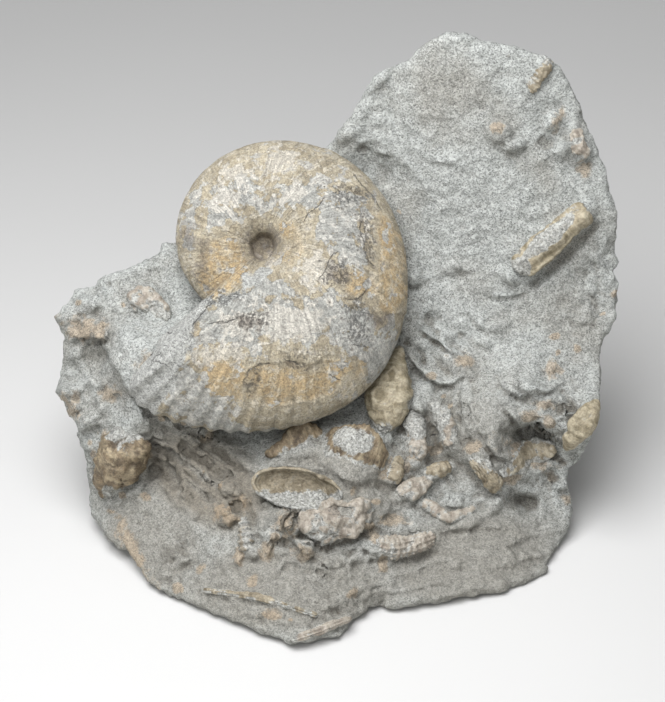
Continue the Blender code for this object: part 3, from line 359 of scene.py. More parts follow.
@dataclass(frozen=True)
class LineOfSight:
    """How pixels of the picture and heights above its plane map to places in space, in millimetres."""

    elevation: float = radians(32.0)
    mm_per_pixel: float = 0.34
    eye_distance: float = 750.0
    middle_pixel: tuple[float, float] = (332.5, 351.0)
    middle_point: tuple[float, float, float] = (-0.7, 9.0, 60.0)
    picture_size: tuple[int, int] = (665, 702)

    @property
    def right(self) -> Vector:
        """The way to the picture's right."""
        return Vector((1.0, 0.0, 0.0))

    @property
    def up(self) -> Vector:
        """The way up the picture."""
        return Vector((0.0, sin(self.elevation), cos(self.elevation)))

    @property
    def towards_eye(self) -> Vector:
        """The way out of the picture."""
        return Vector((0.0, -cos(self.elevation), sin(self.elevation)))

    @property
    def eye(self) -> Vector:
        """Where the picture is seen from."""
        return Vector(self.middle_point) + self.towards_eye * self.eye_distance

    def place(self, x: float, y: float, height: float) -> Vector:
        """Finds the point that shows at a pixel.

        Args:
            x: Pixel column.
            y: Pixel row.
            height: Height above the picture plane, towards the eye.

        Returns:
            The point in space.
        """
        spread = (self.eye_distance - height) / self.eye_distance * self.mm_per_pixel
        across = self.right * ((x - self.middle_pixel[0]) * spread)
        upward = self.up * ((self.middle_pixel[1] - y) * spread)
        return Vector(self.middle_point) + across + upward + self.towards_eye * height

    def picture_of(self, points: ndarray) -> tuple[ndarray, ndarray, ndarray]:
        """Finds where points show in the picture.

        Args:
            points: Places in space, one per row.

        Returns:
            Pixel columns, pixel rows and heights above the picture plane.
        """
        relative = points - np.array(self.middle_point)
        height = relative @ np.array(self.towards_eye)
        spread = (self.eye_distance - height) / self.eye_distance * self.mm_per_pixel
        x = self.middle_pixel[0] + relative @ np.array(self.right) / spread
        y = self.middle_pixel[1] - relative @ np.array(self.up) / spread
        return x, y, height


SIGHT = LineOfSight()


# Sums on arrays of points

def fractal(points: ndarray, scale: float, seed: int, octaves: int = 4) -> ndarray:
    """Works out fractal noise, about -1 to 1.

    Args:
        points: Places in space, one per row.
        scale: Size of the largest waves, in millimetres.
        seed: Picks the pattern.
        octaves: How many ever smaller waves are added.

    Returns:
        One value per point.
    """
    shift = Vector((seed * 17.3, seed * -9.1, seed * 5.7))
    rows = (points / scale).tolist()
    return np.array([noise.fractal(Vector(row) + shift, 1.0, 2.1, octaves) for row in rows])


def scatter(cells: ndarray, seed: int) -> ndarray:
    """Gives each cell of a grid its own random numbers, the same in each run.

    Args:
        cells: The cells' three whole numbers, one row per cell.
        seed: Picks the numbers.

    Returns:
        Three numbers from 0 to 1 per cell.
    """
    mixed = cells[:, 0] * 73856093 ^ cells[:, 1] * 19349663 ^ cells[:, 2] * 83492791 ^ seed * 2654435761
    columns = []
    for _ in range(3):
        mixed = (mixed ^ (mixed >> 13)) * 1274126177 & 0x7FFFFFFF
        columns.append((mixed & 0xFFFFF) / 0x100000)
    return np.column_stack(columns)


def pebbles(points: ndarray, size: float, seed: int) -> ndarray:
    """Works out the relief of stones packed at random.

    Args:
        points: Places in space, one per row.
        size: Mean size of a stone, in millimetres.
        seed: Picks the pattern.

    Returns:
        Per point, about 1 at a stone's middle and 0 in the gaps.
    """
    places = points / size
    cells = np.floor(places).astype(np.int64)
    nearest = np.full(len(points), np.inf)
    for step in itertools.product((-1, 0, 1), repeat=3):
        cell = cells + np.array(step)
        nearest = np.minimum(nearest, np.linalg.norm(places - cell - scatter(cell, seed), axis=1))
    return np.clip(1.0 - (nearest / 0.9) ** 2, 0.0, 1.0)


def smooth_max(a: ndarray, b: ndarray, radius: float) -> ndarray:
    """The larger of two values, rounded over where they are within radius of each other."""
    blend = np.clip(0.5 + 0.5 * (a - b) / radius, 0.0, 1.0)
    return b + (a - b) * blend + radius * blend * (1.0 - blend)


def ellipse_distance(x: ndarray, y: ndarray, patch: Sequence[float]) -> ndarray:
    """Distance from the middle of a turned ellipse, 1 on its rim.

    Args:
        x: Pixel columns.
        y: Pixel rows.
        patch: Middle x, middle y, half length, half width and turn in degrees.

    Returns:
        One value per place.
    """
    middle_x, middle_y, half_length, half_width, turn = patch[:5]
    angle = radians(turn)
    off_x, off_y = x - middle_x, y - middle_y
    along = (off_x * cos(angle) - off_y * sin(angle)) / half_length
    across = (off_x * sin(angle) + off_y * cos(angle)) / half_width
    return np.hypot(along, across)


def patch_cover(x: ndarray, y: ndarray, patches: Iterable[Patch]) -> ndarray:
    """Works out how deep each place lies in the nearest of several patches.

    Args:
        x: Pixel columns.
        y: Pixel rows.
        patches: The patches.

    Returns:
        1 in a patch's middle, 0 on its rim, down to -1 outside it.
    """
    cover = np.full(x.shape, -1.0)
    for patch in patches:
        cover = np.maximum(cover, 1.0 - ellipse_distance(x, y, patch))
    return cover


def patch_share(x: ndarray, y: ndarray, patches: Iterable[Patch], slope: float = 3.0) -> ndarray:
    """How much each place belongs to the patches: 1 well inside one, falling to 0 on its rim."""
    return np.clip(patch_cover(x, y, patches) * slope, 0.0, 1.0)


def line_distance(x: ndarray, y: ndarray, line: Line) -> tuple[ndarray, ndarray]:
    """Measures to a line of straight stretches.

    Args:
        x: Pixel columns.
        y: Pixel rows.
        line: The line's points.

    Returns:
        The distance in pixels, and the same with a minus sign on the left-hand side as the line runs.
    """
    nearest = np.full(x.shape, np.inf)
    signed = nearest.copy()
    for (ax, ay), (bx, by) in zip(line, line[1:]):
        dx, dy = bx - ax, by - ay
        share = np.clip(((x - ax) * dx + (y - ay) * dy) / (dx * dx + dy * dy), 0.0, 1.0)
        distance = np.hypot(x - ax - share * dx, y - ay - share * dy)
        side = np.where(dx * (y - ay) - dy * (x - ax) < 0.0, -distance, distance)
        signed = np.where(distance < nearest, side, signed)
        nearest = np.minimum(nearest, distance)
    return nearest, signed


def polygon_distance(x: ndarray, y: ndarray, corners: Line) -> ndarray:
    """Measures to a closed outline.

    Args:
        x: Pixel columns.
        y: Pixel rows.
        corners: The outline's corners.

    Returns:
        The distance in pixels, negative inside it.
    """
    closed = [*corners, corners[0]]
    nearest, _ = line_distance(x, y, closed)
    crossings = np.zeros(x.shape, int)
    for (ax, ay), (bx, by) in zip(closed, closed[1:]):
        if by != ay:
            crossings += ((ay > y) != (by > y)) & (x < ax + (y - ay) * (bx - ax) / (by - ay))
    return np.where(crossings % 2 == 1, -nearest, nearest)


class PictureMap:
    """Values on every pixel of a frame a little wider than the picture, read between pixels."""

    MARGIN = 90

    def __init__(self, rule: Rule) -> None:
        """Fills the frame.

        Args:
            rule: From pixel columns and rows to values.
        """
        width, height = SIGHT.picture_size
        rows, columns = np.mgrid[-self.MARGIN : height + self.MARGIN, -self.MARGIN : width + self.MARGIN]
        self.values = rule(columns.astype(float), rows.astype(float))

    def add(self, places: Line, reach: float, rule: Rule, join: np.ufunc = np.add) -> None:
        """Adds to the values near some places only.

        Args:
            places: The places in pixels.
            reach: How far around them the rule matters, in pixels.
            rule: From pixel columns and rows to what is added.
            join: How it is joined to what is there.
        """
        low = np.maximum(np.min(places, axis=0) - reach + self.MARGIN, 0).astype(int)
        high = (np.max(places, axis=0) + reach + self.MARGIN).astype(int)
        window = (slice(low[1], high[1]), slice(low[0], high[0]))
        rows, columns = np.mgrid[window]
        part = self.values[window]
        rows, columns = rows[: part.shape[0], : part.shape[1]], columns[: part.shape[0], : part.shape[1]]
        part[:] = join(part, rule(columns - float(self.MARGIN), rows - float(self.MARGIN)))

    def at(self, x: ndarray, y: ndarray) -> ndarray:
        """Reads the values between pixels.

        Args:
            x: Pixel columns.
            y: Pixel rows.

        Returns:
            One value per place.
        """
        rows, columns = self.values.shape
        x = np.clip(x + self.MARGIN, 0, columns - 1.001)
        y = np.clip(y + self.MARGIN, 0, rows - 1.001)
        left, top = x.astype(int), y.astype(int)
        rightward, downward = x - left, y - top
        above = self.values[top, left] * (1 - rightward) + self.values[top, left + 1] * rightward
        below = self.values[top + 1, left] * (1 - rightward) + self.values[top + 1, left + 1] * rightward
        return above * (1 - downward) + below * downward


# Work on meshes

def per_point(mesh: Mesh, name: str) -> ndarray:
    """Reads what a mesh holds for each point.

    Args:
        mesh: The mesh.
        name: The points' property.

    Returns:
        One row of three per point.
    """
    flat = np.empty(len(mesh.vertices) * 3, np.float32)
    mesh.vertices.foreach_get(name, flat)
    return flat.reshape(-1, 3).astype(float)


def points_of(mesh: Mesh) -> ndarray:
    """The mesh's points in millimetres, one per row."""
    return per_point(mesh, "co") / MM


def set_points(mesh: Mesh, points: ndarray) -> None:
    """Moves the mesh's points to places given in millimetres."""
    mesh.vertices.foreach_set("co", (points * MM).astype(np.float32).ravel())
    mesh.update()


def normals_of(mesh: Mesh) -> ndarray:
    """The way each point of the mesh faces, one per row."""
    return per_point(mesh, "normal")


def held_in(points: ndarray, box: Iterable[Sequence[float]]) -> ndarray:
    """Holds points inside a box of the CAD model, which is given in metres."""
    low, high = (np.array(corner) / MM for corner in box)
    return np.clip(points, low, high)


def spread_over(mesh: Mesh, values: ndarray, rounds: int) -> ndarray:
    """Evens values out over a mesh by averaging each point with its neighbours.

    Args:
        mesh: The mesh.
        values: One row per point.
        rounds: How many times each point takes the mean of its neighbours.

    Returns:
        The evened values.
    """
    ends = np.empty(len(mesh.edges) * 2, np.int32)
    mesh.edges.foreach_get("vertices", ends)
    start, stop = ends.reshape(-1, 2).T
    count = len(mesh.vertices)
    neighbours = np.bincount(start, minlength=count) + np.bincount(stop, minlength=count)
    evened = values.reshape(count, -1).copy()
    for _ in range(rounds):
        for column in range(evened.shape[1]):
            value = evened[:, column]
            total = np.bincount(start, value[stop], count) + np.bincount(stop, value[start], count)
            evened[:, column] = 0.5 * value + 0.5 * total / np.maximum(neighbours, 1)
    return evened.reshape(values.shape)


def hollowness(mesh: Mesh, rounds: int, scale: float) -> ndarray:
    """How sunken each point lies among its neighbours: 0 on lumps and flats, 1 deep in a gap.

    Args:
        mesh: The mesh.
        rounds: How far around it is compared, in steps of an edge.
        scale: The depth in millimetres that counts as 1.

    Returns:
        One value per point.
    """
    points = points_of(mesh)
    standing_in = np.einsum("ij,ij->i", spread_over(mesh, points, rounds) - points, normals_of(mesh))
    return np.clip(standing_in / scale, -1.0, 1.0)


def paint(mesh: Mesh, name: str, values: ndarray) -> None:
    """Stores values on a mesh for its material to read.

    Args:
        mesh: The mesh.
        name: What they are stored as.
        values: One number, or one row of three, per point.
    """
    kind = "FLOAT" if values.ndim == 1 else "FLOAT_VECTOR"
    layer = mesh.attributes.new(name, kind, "POINT")
    layer.data.foreach_set("value" if values.ndim == 1 else "vector", values.astype(np.float32).ravel())


def new_object(name: str, bm: bmesh.types.BMesh) -> Object:
    """Puts a mesh that was made in millimetres in the scene as a smooth-shaded object.

    Args:
        name: The object's name.
        bm: The mesh, which is freed.

    Returns:
        The object.
    """
    bmesh.ops.recalc_face_normals(bm, faces=bm.faces)
    bmesh.ops.scale(bm, vec=(MM, MM, MM), verts=bm.verts)
    for face in bm.faces:
        face.smooth = True
    mesh = bpy.data.meshes.new(name)
    bm.to_mesh(mesh)
    bm.free()
    obj = bpy.data.objects.new(name, mesh)
    bpy.context.scene.collection.objects.link(obj)
    return obj


def bake_modifiers(obj: Object) -> None:
    """Replaces a mesh by what its modifiers make of it, smooth-shaded.

    Args:
        obj: The object.
    """
    graph = bpy.context.evaluated_depsgraph_get()
    mesh = bpy.data.meshes.new_from_object(obj.evaluated_get(graph))
    obj.modifiers.clear()
    obj.data = mesh
    mesh.polygons.foreach_set("use_smooth", np.ones(len(mesh.polygons), bool))


def one_skin(obj: Object, grain: float) -> None:
    """Rebuilds a mesh as one even skin of small faces.

    Args:
        obj: The object.
        grain: Size of a face in millimetres.
    """
    modifier = obj.modifiers.new("one skin", "REMESH")
    modifier.mode = "VOXEL"
    modifier.voxel_size = grain * MM
    bake_modifiers(obj)


def thin_out(obj: Object, triangles: float, where: ndarray | None = None) -> None:
    """Merges faces where the surface is plain until at most that many triangles are left.

    Args:
        obj: The object.
        triangles: How many may stay in all.
        where: Which points may be merged, or None for all.
    """
    present = sum(len(polygon.vertices) - 2 for polygon in obj.data.polygons)
    if present <= triangles:
        return
    modifier = obj.modifiers.new("fewer faces", "DECIMATE")
    modifier.ratio = triangles / present
    if where is not None:
        group = obj.vertex_groups.new(name="merged")
        group.add(np.flatnonzero(where).tolist(), 1.0, "REPLACE")
        modifier.vertex_group = group.name
    bake_modifiers(obj)
    obj.vertex_groups.clear()


def solid_of_rings(rings: Sequence[Sequence[Vector]]) -> bmesh.types.BMesh:
    """Makes a closed body through rings of points.

    Args:
        rings: Equally long rings of points in millimetres.

    Returns:
        The body, capped at both ends.
    """
    bm = bmesh.new()
    rows = [[bm.verts.new(point) for point in ring] for ring in rings]
    bm.faces.new(rows[0])
    for near, far in zip(rows, rows[1:]):
        for i, j in zip(range(len(near)), [*range(1, len(near)), 0]):
            bm.faces.new((near[i], near[j], far[j], far[i]))
    bm.faces.new(list(reversed(rows[-1])))
    return bm


# Finishes

def linear(code: str) -> tuple[float, float, float, float]:
    """Turns a colour to linear.

    Args:
        code: Its sRGB hex code, such as #bdbdb6.

    Returns:
        Its linear red, green and blue, and 1.
    """
    shares = [int(code[i : i + 2], 16) / 255.0 for i in (1, 3, 5)]
    red, green, blue = (s / 12.92 if s <= 0.04045 else ((s + 0.055) / 1.055) ** 2.4 for s in shares)
    return red, green, blue, 1.0


class Finish:
    """A material under way: its node tree, its shader, and the object's own coordinates in millimetres."""

    def __init__(self, name: str, ior: float) -> None:
        """Starts a material.

        Args:
            name: What it is and how its surface was made.
            ior: Its index of refraction.
        """
        self.material = bpy.data.materials.new(name)
        self.material.use_nodes = True
        self.tree = self.material.node_tree
        self.shader = self.tree.nodes["Principled BSDF"]
        self.shader.inputs["IOR"].default_value = ior
        own = self.add("TexCoord", output="Object")
        self.place = self.add("VectorMath", {0: own, "Scale": 1.0 / MM}, operation="SCALE")

    def add(
        self, kind: str, inputs: Inputs | None = None, output: str | int = 0, **settings: object
    ) -> NodeSocket:
        """Adds a node with its settings and links.

        Args:
            kind: The node's type without its ShaderNode prefix.
            inputs: What each input gets: a value, a hex colour, or the socket that it is linked from.
            output: Which of its outputs is wanted.
            **settings: The node's own properties.

        Returns:
            The output's socket.
        """
        node = self.tree.nodes.new("ShaderNode" + kind)
        for name, value in settings.items():
            setattr(node, name, value)
        for key, value in (inputs or {}).items():
            if isinstance(value, NodeSocket):
                self.tree.links.new(value, node.inputs[key])
            else:
                node.inputs[key].default_value = linear(value) if isinstance(value, str) else value
        return node.outputs[output]

    def sand(self, grain: float) -> tuple[NodeSocket, NodeSocket]:
        """Strews grains of sand, each of its own tone.

        Args:
            grain: Their size in millimetres.

        Returns:
            What the colour is multiplied by, and the relief.
        """
        cells = self.add("TexVoronoi", {"Vector": self.place, "Scale": 1.0 / grain}, "Color")
        tone = self.add("SeparateColor", {0: cells})
        dust = {"Vector": self.place, "Scale": 1.3 / grain, "Detail": 3, "Roughness": 0.7}
        dust = self.add("TexNoise", dust)
        mixed = self.add("Mix", {0: 0.45, 2: tone, 3: dust}, data_type="FLOAT")
        shade = self.add("MapRange", {0: mixed, 1: 0.28, 2: 0.72, 3: 0.6, 4: 1.22})
        pepper = self.add("MapRange", {0: tone, 1: 0.03, 2: 0.05, 3: 0.72, 4: 1.0})
        return self.add("Math", {0: shade, 1: pepper}, operation="MULTIPLY"), mixed

    def patch(
        self, name: str, wander: NodeSocket, reach: float, edge: float, strength: float = 1.0
    ) -> NodeSocket:
        """Gives a painted patch a ragged edge.

        Args:
            name: The name that it was painted under.
            wander: Noise that makes its edge ragged.
            reach: How far the edge wanders, in the units it was painted in.
            edge: How soft the edge is, in the same units.
            strength: What it is worth inside.

        Returns:
            The socket that holds its strength inside it and 0 outside.
        """
        painted = self.add("Attribute", output="Fac", attribute_name=name)
        shifted = self.add("Math", {0: wander, 1: 6.0 * reach, 2: painted}, operation="MULTIPLY_ADD")
        inputs = {0: shifted, 1: 3.0 * reach - edge, 2: 3.0 * reach + edge, 3: 0.0, 4: strength}
        return self.add("MapRange", inputs, interpolation_type="SMOOTHSTEP")

    def coat(self, ground: str | NodeSocket, *coats: tuple) -> NodeSocket:
        """Lays colours over a ground, one after the other.

        Args:
            ground: The colour at the bottom.
            *coats: For each, how much of it shows, its colour, and how it is blended unless it just covers.

        Returns:
            The colour that shows.
        """
        for share, over, *blend in coats:
            settings = {"data_type": "RGBA", "blend_type": blend[0] if blend else "MIX"}
            ground = self.add("Mix", {0: share, 6: ground, 7: over}, 2, **settings)
        return ground

    def close(
        self, colour: NodeSocket, relief: NodeSocket, depth: float, roughness: float | NodeSocket
    ) -> Material:
        """Closes the material.

        Args:
            colour: The surface colour.
            relief: The relief that is too fine for the mesh.
            depth: What a step of 1 in it stands for, in millimetres.
            roughness: A number, or a socket where it varies.

        Returns:
            The material.
        """
        bump = self.add("Bump", {"Height": relief, "Distance": depth * MM, "Strength": 1.0})
        self.tree.links.new(bump, self.shader.inputs["Normal"])
        self.tree.links.new(colour, self.shader.inputs["Base Color"])
        if isinstance(roughness, NodeSocket):
            self.tree.links.new(roughness, self.shader.inputs["Roughness"])
        else:
            self.shader.inputs["Roughness"].default_value = roughness
        return self.material


@dataclass(frozen=True)
class SandyLimestone:
    """Sandy limestone split along rough breaks. Dull all over, peppered with dark and pale grains of sand."""

    name: str = "grey_sandy_limestone_broken"
    body: str = "#b6b8b2"
    shade: str = "#9c9e98"
    # Warm tint of the stone, also laid on as painted shade
    warm_and_shaded: str = "#868073"
    tan: str = "#a8957a"
    # Dark of the patches in pits and clefts: painted shade
    pit_shade_and_stain: str = "#5f5a4f"
    # Darker, browner stone in the hollows: partly dirt, partly painted shade
    hollow: str = "#645f54"
    grain: float = 0.42  # the upper end of the sand's 0.25 to 0.5 mm, so that it shows
    lump: float = 1.82  # lumps of cemented grains, in millimetres
    clump: float = 3.33  # paler and darker clumps
    drift: float = 22.2  # warmer and cooler stretches of a bed
    ior: float = 1.5
    roughness: float = 0.95

    def make(self) -> Material:
        """Builds the material.

        Returns:
            The material.
        """
        f = Finish(self.name, self.ior)
        shade, sand = f.sand(self.grain)
        clumps = f.add("TexNoise", {"Vector": f.place, "Scale": 1 / self.clump, "Detail": 5, "Roughness": 0.6})
        drift = f.add("TexNoise", {"Vector": f.place, "Scale": 1 / self.drift, "Detail": 4.0})
        lumps = f.add("TexNoise", {"Vector": f.place, "Scale": 1 / self.lump, "Detail": 4, "Roughness": 0.6})
        warmth = f.add("MapRange", {0: drift, 1: 0.48, 2: 0.7, 4: 0.45})
        warm_shaded_ground = f.add("Attribute", output="Fac", attribute_name="warm_and_shaded")
        # Painted shade and dirt in the hollows, broken up by the clumps
        sunken = f.add("Attribute", output="Fac", attribute_name="hollow")
        sunken = f.add("Math", {0: clumps, 1: 1.2, 2: sunken}, operation="MULTIPLY_ADD")
        colour = f.coat(
            self.shade,
            (f.add("MapRange", {0: clumps, 1: 0.36, 2: 0.62}), self.body),
            # Warm tint: along the drift it is the stone's own, on the painted ground it is partly painted
            # shade
            (f.add("Math", {0: warmth, 1: warm_shaded_ground}, operation="MAXIMUM"), self.warm_and_shaded),
            (f.patch("tan", clumps, 0.6, 0.4, 0.62), self.tan),
            (f.add("MapRange", {0: sunken, 1: 0.62, 2: 1.45, 4: 0.85}), self.hollow),
            # Painted shade in the pits, hollows and clefts
            (f.patch("pit_shade_and_stain", clumps, 0.6, 0.4, 0.5), self.pit_shade_and_stain),
            (f.add("MapRange", {0: warm_shaded_ground, 3: 1.0, 4: 0.6}), shade, "MULTIPLY"),
        )
        relief = f.add("Math", {0: lumps, 1: 1.5, 2: sand}, operation="MULTIPLY_ADD")
        return f.close(colour, relief, 0.5, self.roughness)


@dataclass(frozen=True)
class WeatheredCalcite:
    """The ammonite's shell: calcite weathered to a tan skin with a soft sheen, flaking off a chalky grey."""

    name: str = "tan_calcite_shell_weathered"
    skin: str = "#c8bea6"
    skin_dark: str = "#a79c84"
    orange: str = "#b89f76"
    orange_pale: str = "#c3b18d"
    grey: str = "#c4c4bd"
    grey_dark: str = "#9c9d97"
    chalk: str = "#d2ccbe"
    # Brown of the stains, also used as painted shade in the hollows and the umbilicus's hole
    brown_stain_and_shade: str = "#57493a"
    # Near-black of the cracks and of the gaps between flakes: painted shade
    cleft: str = "#3c3a38"
    stone: str = "#b5b5ae"
    grain: float = 0.42  # stone dust like the block's
    wrinkle: float = 1.2  # wrinkles of the skin, in millimetres
    line: float = 1.43  # growth lines, drawn coarser than the real 0.3 mm so that they show
    line_stretch: float = 14.3  # how much longer than wide they are
    blotch: float = 2.5
    wander: float = 5.0  # wandering of the layers' edges
    ior: float = 1.56
    roughness: float = 0.78
    roughness_of_stone: float = 0.94

    def make(self) -> Material:
        """Builds the material.

        Returns:
            The material.
        """
        f = Finish(self.name, self.ior)
        shade, sand = f.sand(self.grain)
        coil = f.add("Attribute", output="Vector", attribute_name="coil")
        squeeze = (1.0, 1 / self.line_stretch, 1 / self.line_stretch)
        lines = f.add("VectorMath", {0: coil, 1: squeeze}, operation="MULTIPLY")
        growth = f.add("TexNoise", {"Vector": lines, "Scale": 1 / self.line, "Detail": 6, "Roughness": 0.68})
        wander, mottle, wrinkles = (
            f.add("TexNoise", {"Vector": f.place, "Scale": 1 / size, "Detail": detail, "Roughness": rough})
            for size, detail, rough in ((self.wander, 6, 0.6), (self.blotch, 5, 0.6), (self.wrinkle, 7, 0.7))
        )
        scales = f.add("MapRange", {0: mottle, 1: 0.5, 2: 0.53})
        bared = f.patch("grey", wander, 1.4, 0.2, 0.88)
        stony = f.patch("stone", wander, 0.6, 0.3)
        # Gaps between the flakes of the broken patches, sunk and coloured near-black as painted shade
        gaps = f.add("MapRange", {0: wrinkles, 1: 0.44, 2: 0.5, 3: 1.0, 4: 0.0})
        gaps = f.add("Math", {0: f.patch("broken", mottle, 0.7, 0.3), 1: gaps}, operation="MULTIPLY")
        crack = self.crack(f, mottle)
        sunken = f.add("Attribute", output="Fac", attribute_name="hollow")
        colour = f.coat(
            self.skin_dark,
            (f.add("MapRange", {0: wander, 1: 0.38, 2: 0.62}), self.skin),
            (
                f.patch("orange", wander, 1.3, 0.5, 0.85),
                f.coat(self.orange, (f.add("MapRange", {0: mottle, 1: 0.4, 2: 0.62}), self.orange_pale)),
            ),
            (bared, f.coat(self.grey_dark, (f.add("MapRange", {0: mottle, 1: 0.38, 2: 0.6}), self.grey))),
            (f.patch("chalk", mottle, 1.2, 0.4, 0.7), self.chalk),
            (f.add("Math", {0: scales, 1: 0.22}, operation="MULTIPLY"), self.chalk),
            # Brown stains, and painted shade in the umbilicus's hole and along edges
            (f.patch("brown_stain_and_shade", mottle, 0.8, 0.8, 0.6), self.brown_stain_and_shade),
            # Painted shade in the wrinkles' lows and painted light on their crests, following the relief they
            # raise
            (0.55, f.add("MapRange", {0: wrinkles, 1: 0.3, 2: 0.6, 3: 0.5, 4: 1.2}), "MULTIPLY"),
            (0.8, f.add("MapRange", {0: growth, 1: 0.36, 2: 0.6, 3: 0.62, 4: 1.1}), "MULTIPLY"),
            # Painted shade in the shell's hollows, in brown
            (f.add("MapRange", {0: sunken, 1: 0.03, 2: 0.5, 4: 0.8}), self.brown_stain_and_shade),
            (stony, self.stone),
            (f.add("Math", {0: stony, 1: 0.35, 2: 0.6}, operation="MULTIPLY_ADD"), shade, "MULTIPLY"),
            # Painted shade in the gaps between flakes and in the cracks
            (f.add("Math", {0: gaps, 1: 0.4}, operation="MULTIPLY"), self.cleft),
            (f.add("Math", {0: crack, 1: 0.6}, operation="MULTIPLY"), self.cleft),
        )
        relief = f.add("Math", {0: growth, 1: 0.6}, operation="MULTIPLY")
        raised = (wrinkles, 1.7), (scales, 0.5), (bared, -0.7), (gaps, -1.0), (sand, 0.6), (crack, -1.2)
        for height, share in raised:
            relief = f.add("Math", {0: height, 1: share, 2: relief}, operation="MULTIPLY_ADD")
        dull = f.add("MapRange", {0: wander, 1: 0.35, 2: 0.65, 3: self.roughness, 4: self.roughness_of_stone})
        return f.close(colour, relief, 0.5, dull)

    def crack(self, f: Finish, mottle: NodeSocket) -> NodeSocket:
        """Draws the fine cracks, which swerve with the mottling. Their dark line is painted shade in the
        cracks and under the edges.

        Args:
            f: The material under way.
            mottle: Its mottling.

        Returns:
            The socket that is 1 in a crack.
        """
        side = f.add("Attribute", output="Fac", attribute_name="crack_side")
        near = f.add("Attribute", output="Fac", attribute_name="crack_near")
        swerve = f.add("Math", {0: mottle, 1: 8.0, 2: side}, operation="MULTIPLY_ADD")
        off = f.add("Math", {0: swerve, 1: 4.0}, operation="SUBTRACT")
        off = f.add("Math", {0: off}, operation="ABSOLUTE")
        thin = f.add("MapRange", {0: off, 1: 0.15, 2: 0.7, 3: 1.0, 4: 0.0})
        ends = f.add("MapRange", {0: near, 1: 1.6, 2: 2.6, 3: 1.0, 4: 0.0})
        return f.add("Math", {0: thin, 1: ends}, operation="MULTIPLY")


@dataclass(frozen=True)
class FossilShell:
    """A small fossil shell: worn calcite, silky and bare on its crest, dull with stone where it sinks in."""

    name: str
    body: str
    dark: str
    pale: str
    dust: float = 0.5
    bands: float = 1.4  # growth bands, in millimetres
    wrinkle: float = 1.0
    blotch: float = 3.33
    stone: str = "#b0b0a9"
    stone_shade: str = "#93928a"
    grain: float = 0.6  # coarser than the real dust, so that it shows
    ior: float = 1.56
    roughness: float = 0.62
    roughness_of_stone: float = 0.93

    def make(self) -> Material:
        """Builds the material.

        Returns:
            The material.
        """
        f = Finish(self.name, self.ior)
        shade, sand = f.sand(self.grain)
        along = f.add("Attribute", output="Vector", attribute_name="along")
        bands = f.add("VectorMath", {0: along, 1: (1.0, 0.25, 0.25)}, operation="MULTIPLY")
        growth = f.add("TexNoise", {"Vector": bands, "Scale": 1 / self.bands, "Detail": 4.0})
        blotches = {"Vector": f.place, "Scale": 1 / self.blotch, "Detail": 6, "Roughness": 0.62}
        wander = f.add("TexNoise", blotches)
        grooves = {"Vector": f.place, "Scale": 1 / self.wrinkle, "Detail": 5, "Roughness": 0.65}
        wrinkles = f.add("TexNoise", grooves | {"Distortion": 0.8})
        buried = f.add("Attribute", output="Fac", attribute_name="buried")
        cover = f.add("Math", {0: wander, 1: 2.4, 2: buried}, operation="MULTIPLY_ADD")
        edge = {0: cover, 1: 2.05 - self.dust, 2: 2.35 - self.dust}
        dusty = f.add("MapRange", edge, interpolation_type="SMOOTHSTEP")
        # Painted shade in the hollows and in the pits of the marks
        sunken = f.add("Attribute", output="Fac", attribute_name="hollow")
        colour = f.coat(
            self.dark,
            (f.add("MapRange", {0: wander, 1: 0.38, 2: 0.62}), self.body),
            (f.add("MapRange", {0: growth, 1: 0.48, 2: 0.66, 4: 0.65}), self.pale),
            (f.add("MapRange", {0: wrinkles, 1: 0.52, 2: 0.7, 4: 0.5}), self.pale),
            (dusty, f.coat(self.stone_shade, (f.add("MapRange", {0: wrinkles, 1: 0.4, 2: 0.6}), self.stone))),
            (f.add("MapRange", {0: sunken, 1: 0.05, 2: 0.8, 4: 0.8}), self.dark),
            (f.add("Math", {0: dusty, 1: 0.5, 2: 0.5}, operation="MULTIPLY_ADD"), shade, "MULTIPLY"),
        )
        relief = f.add("Math", {0: growth, 1: 0.7}, operation="MULTIPLY")
        for height, share in ((wrinkles, 1.3), (sand, 0.6)):
            relief = f.add("Math", {0: height, 1: share, 2: relief}, operation="MULTIPLY_ADD")
        dull = f.add("MapRange", {0: dusty, 3: self.roughness, 4: self.roughness_of_stone})
        return f.close(colour, relief, 0.36, dull)


class ShellColour(Enum):
    """The colours that the small shells and broken pieces come in."""

    BROWN = FossilShell("brown_fossil_shell_worn", "#8c7b60", "#574a39", "#b2a486", dust=0.5)
    TAN = FossilShell("tan_fossil_shell_worn", "#a1967f", "#736852", "#bab19b", dust=0.65)
    OLIVE = FossilShell("olive_fossil_shell_worn", "#ada289", "#7f745a", "#c4baa0", dust=0.5)
    CREAM = FossilShell("cream_fossil_shell_worn", "#b2aa9a", "#8a8072", "#c6beb0", dust=0.75)
    GREY = FossilShell("grey_fossil_shell_dusted_with_stone", "#a8a08f", "#837a69", "#c2bdaf", dust=1.0)


# The block

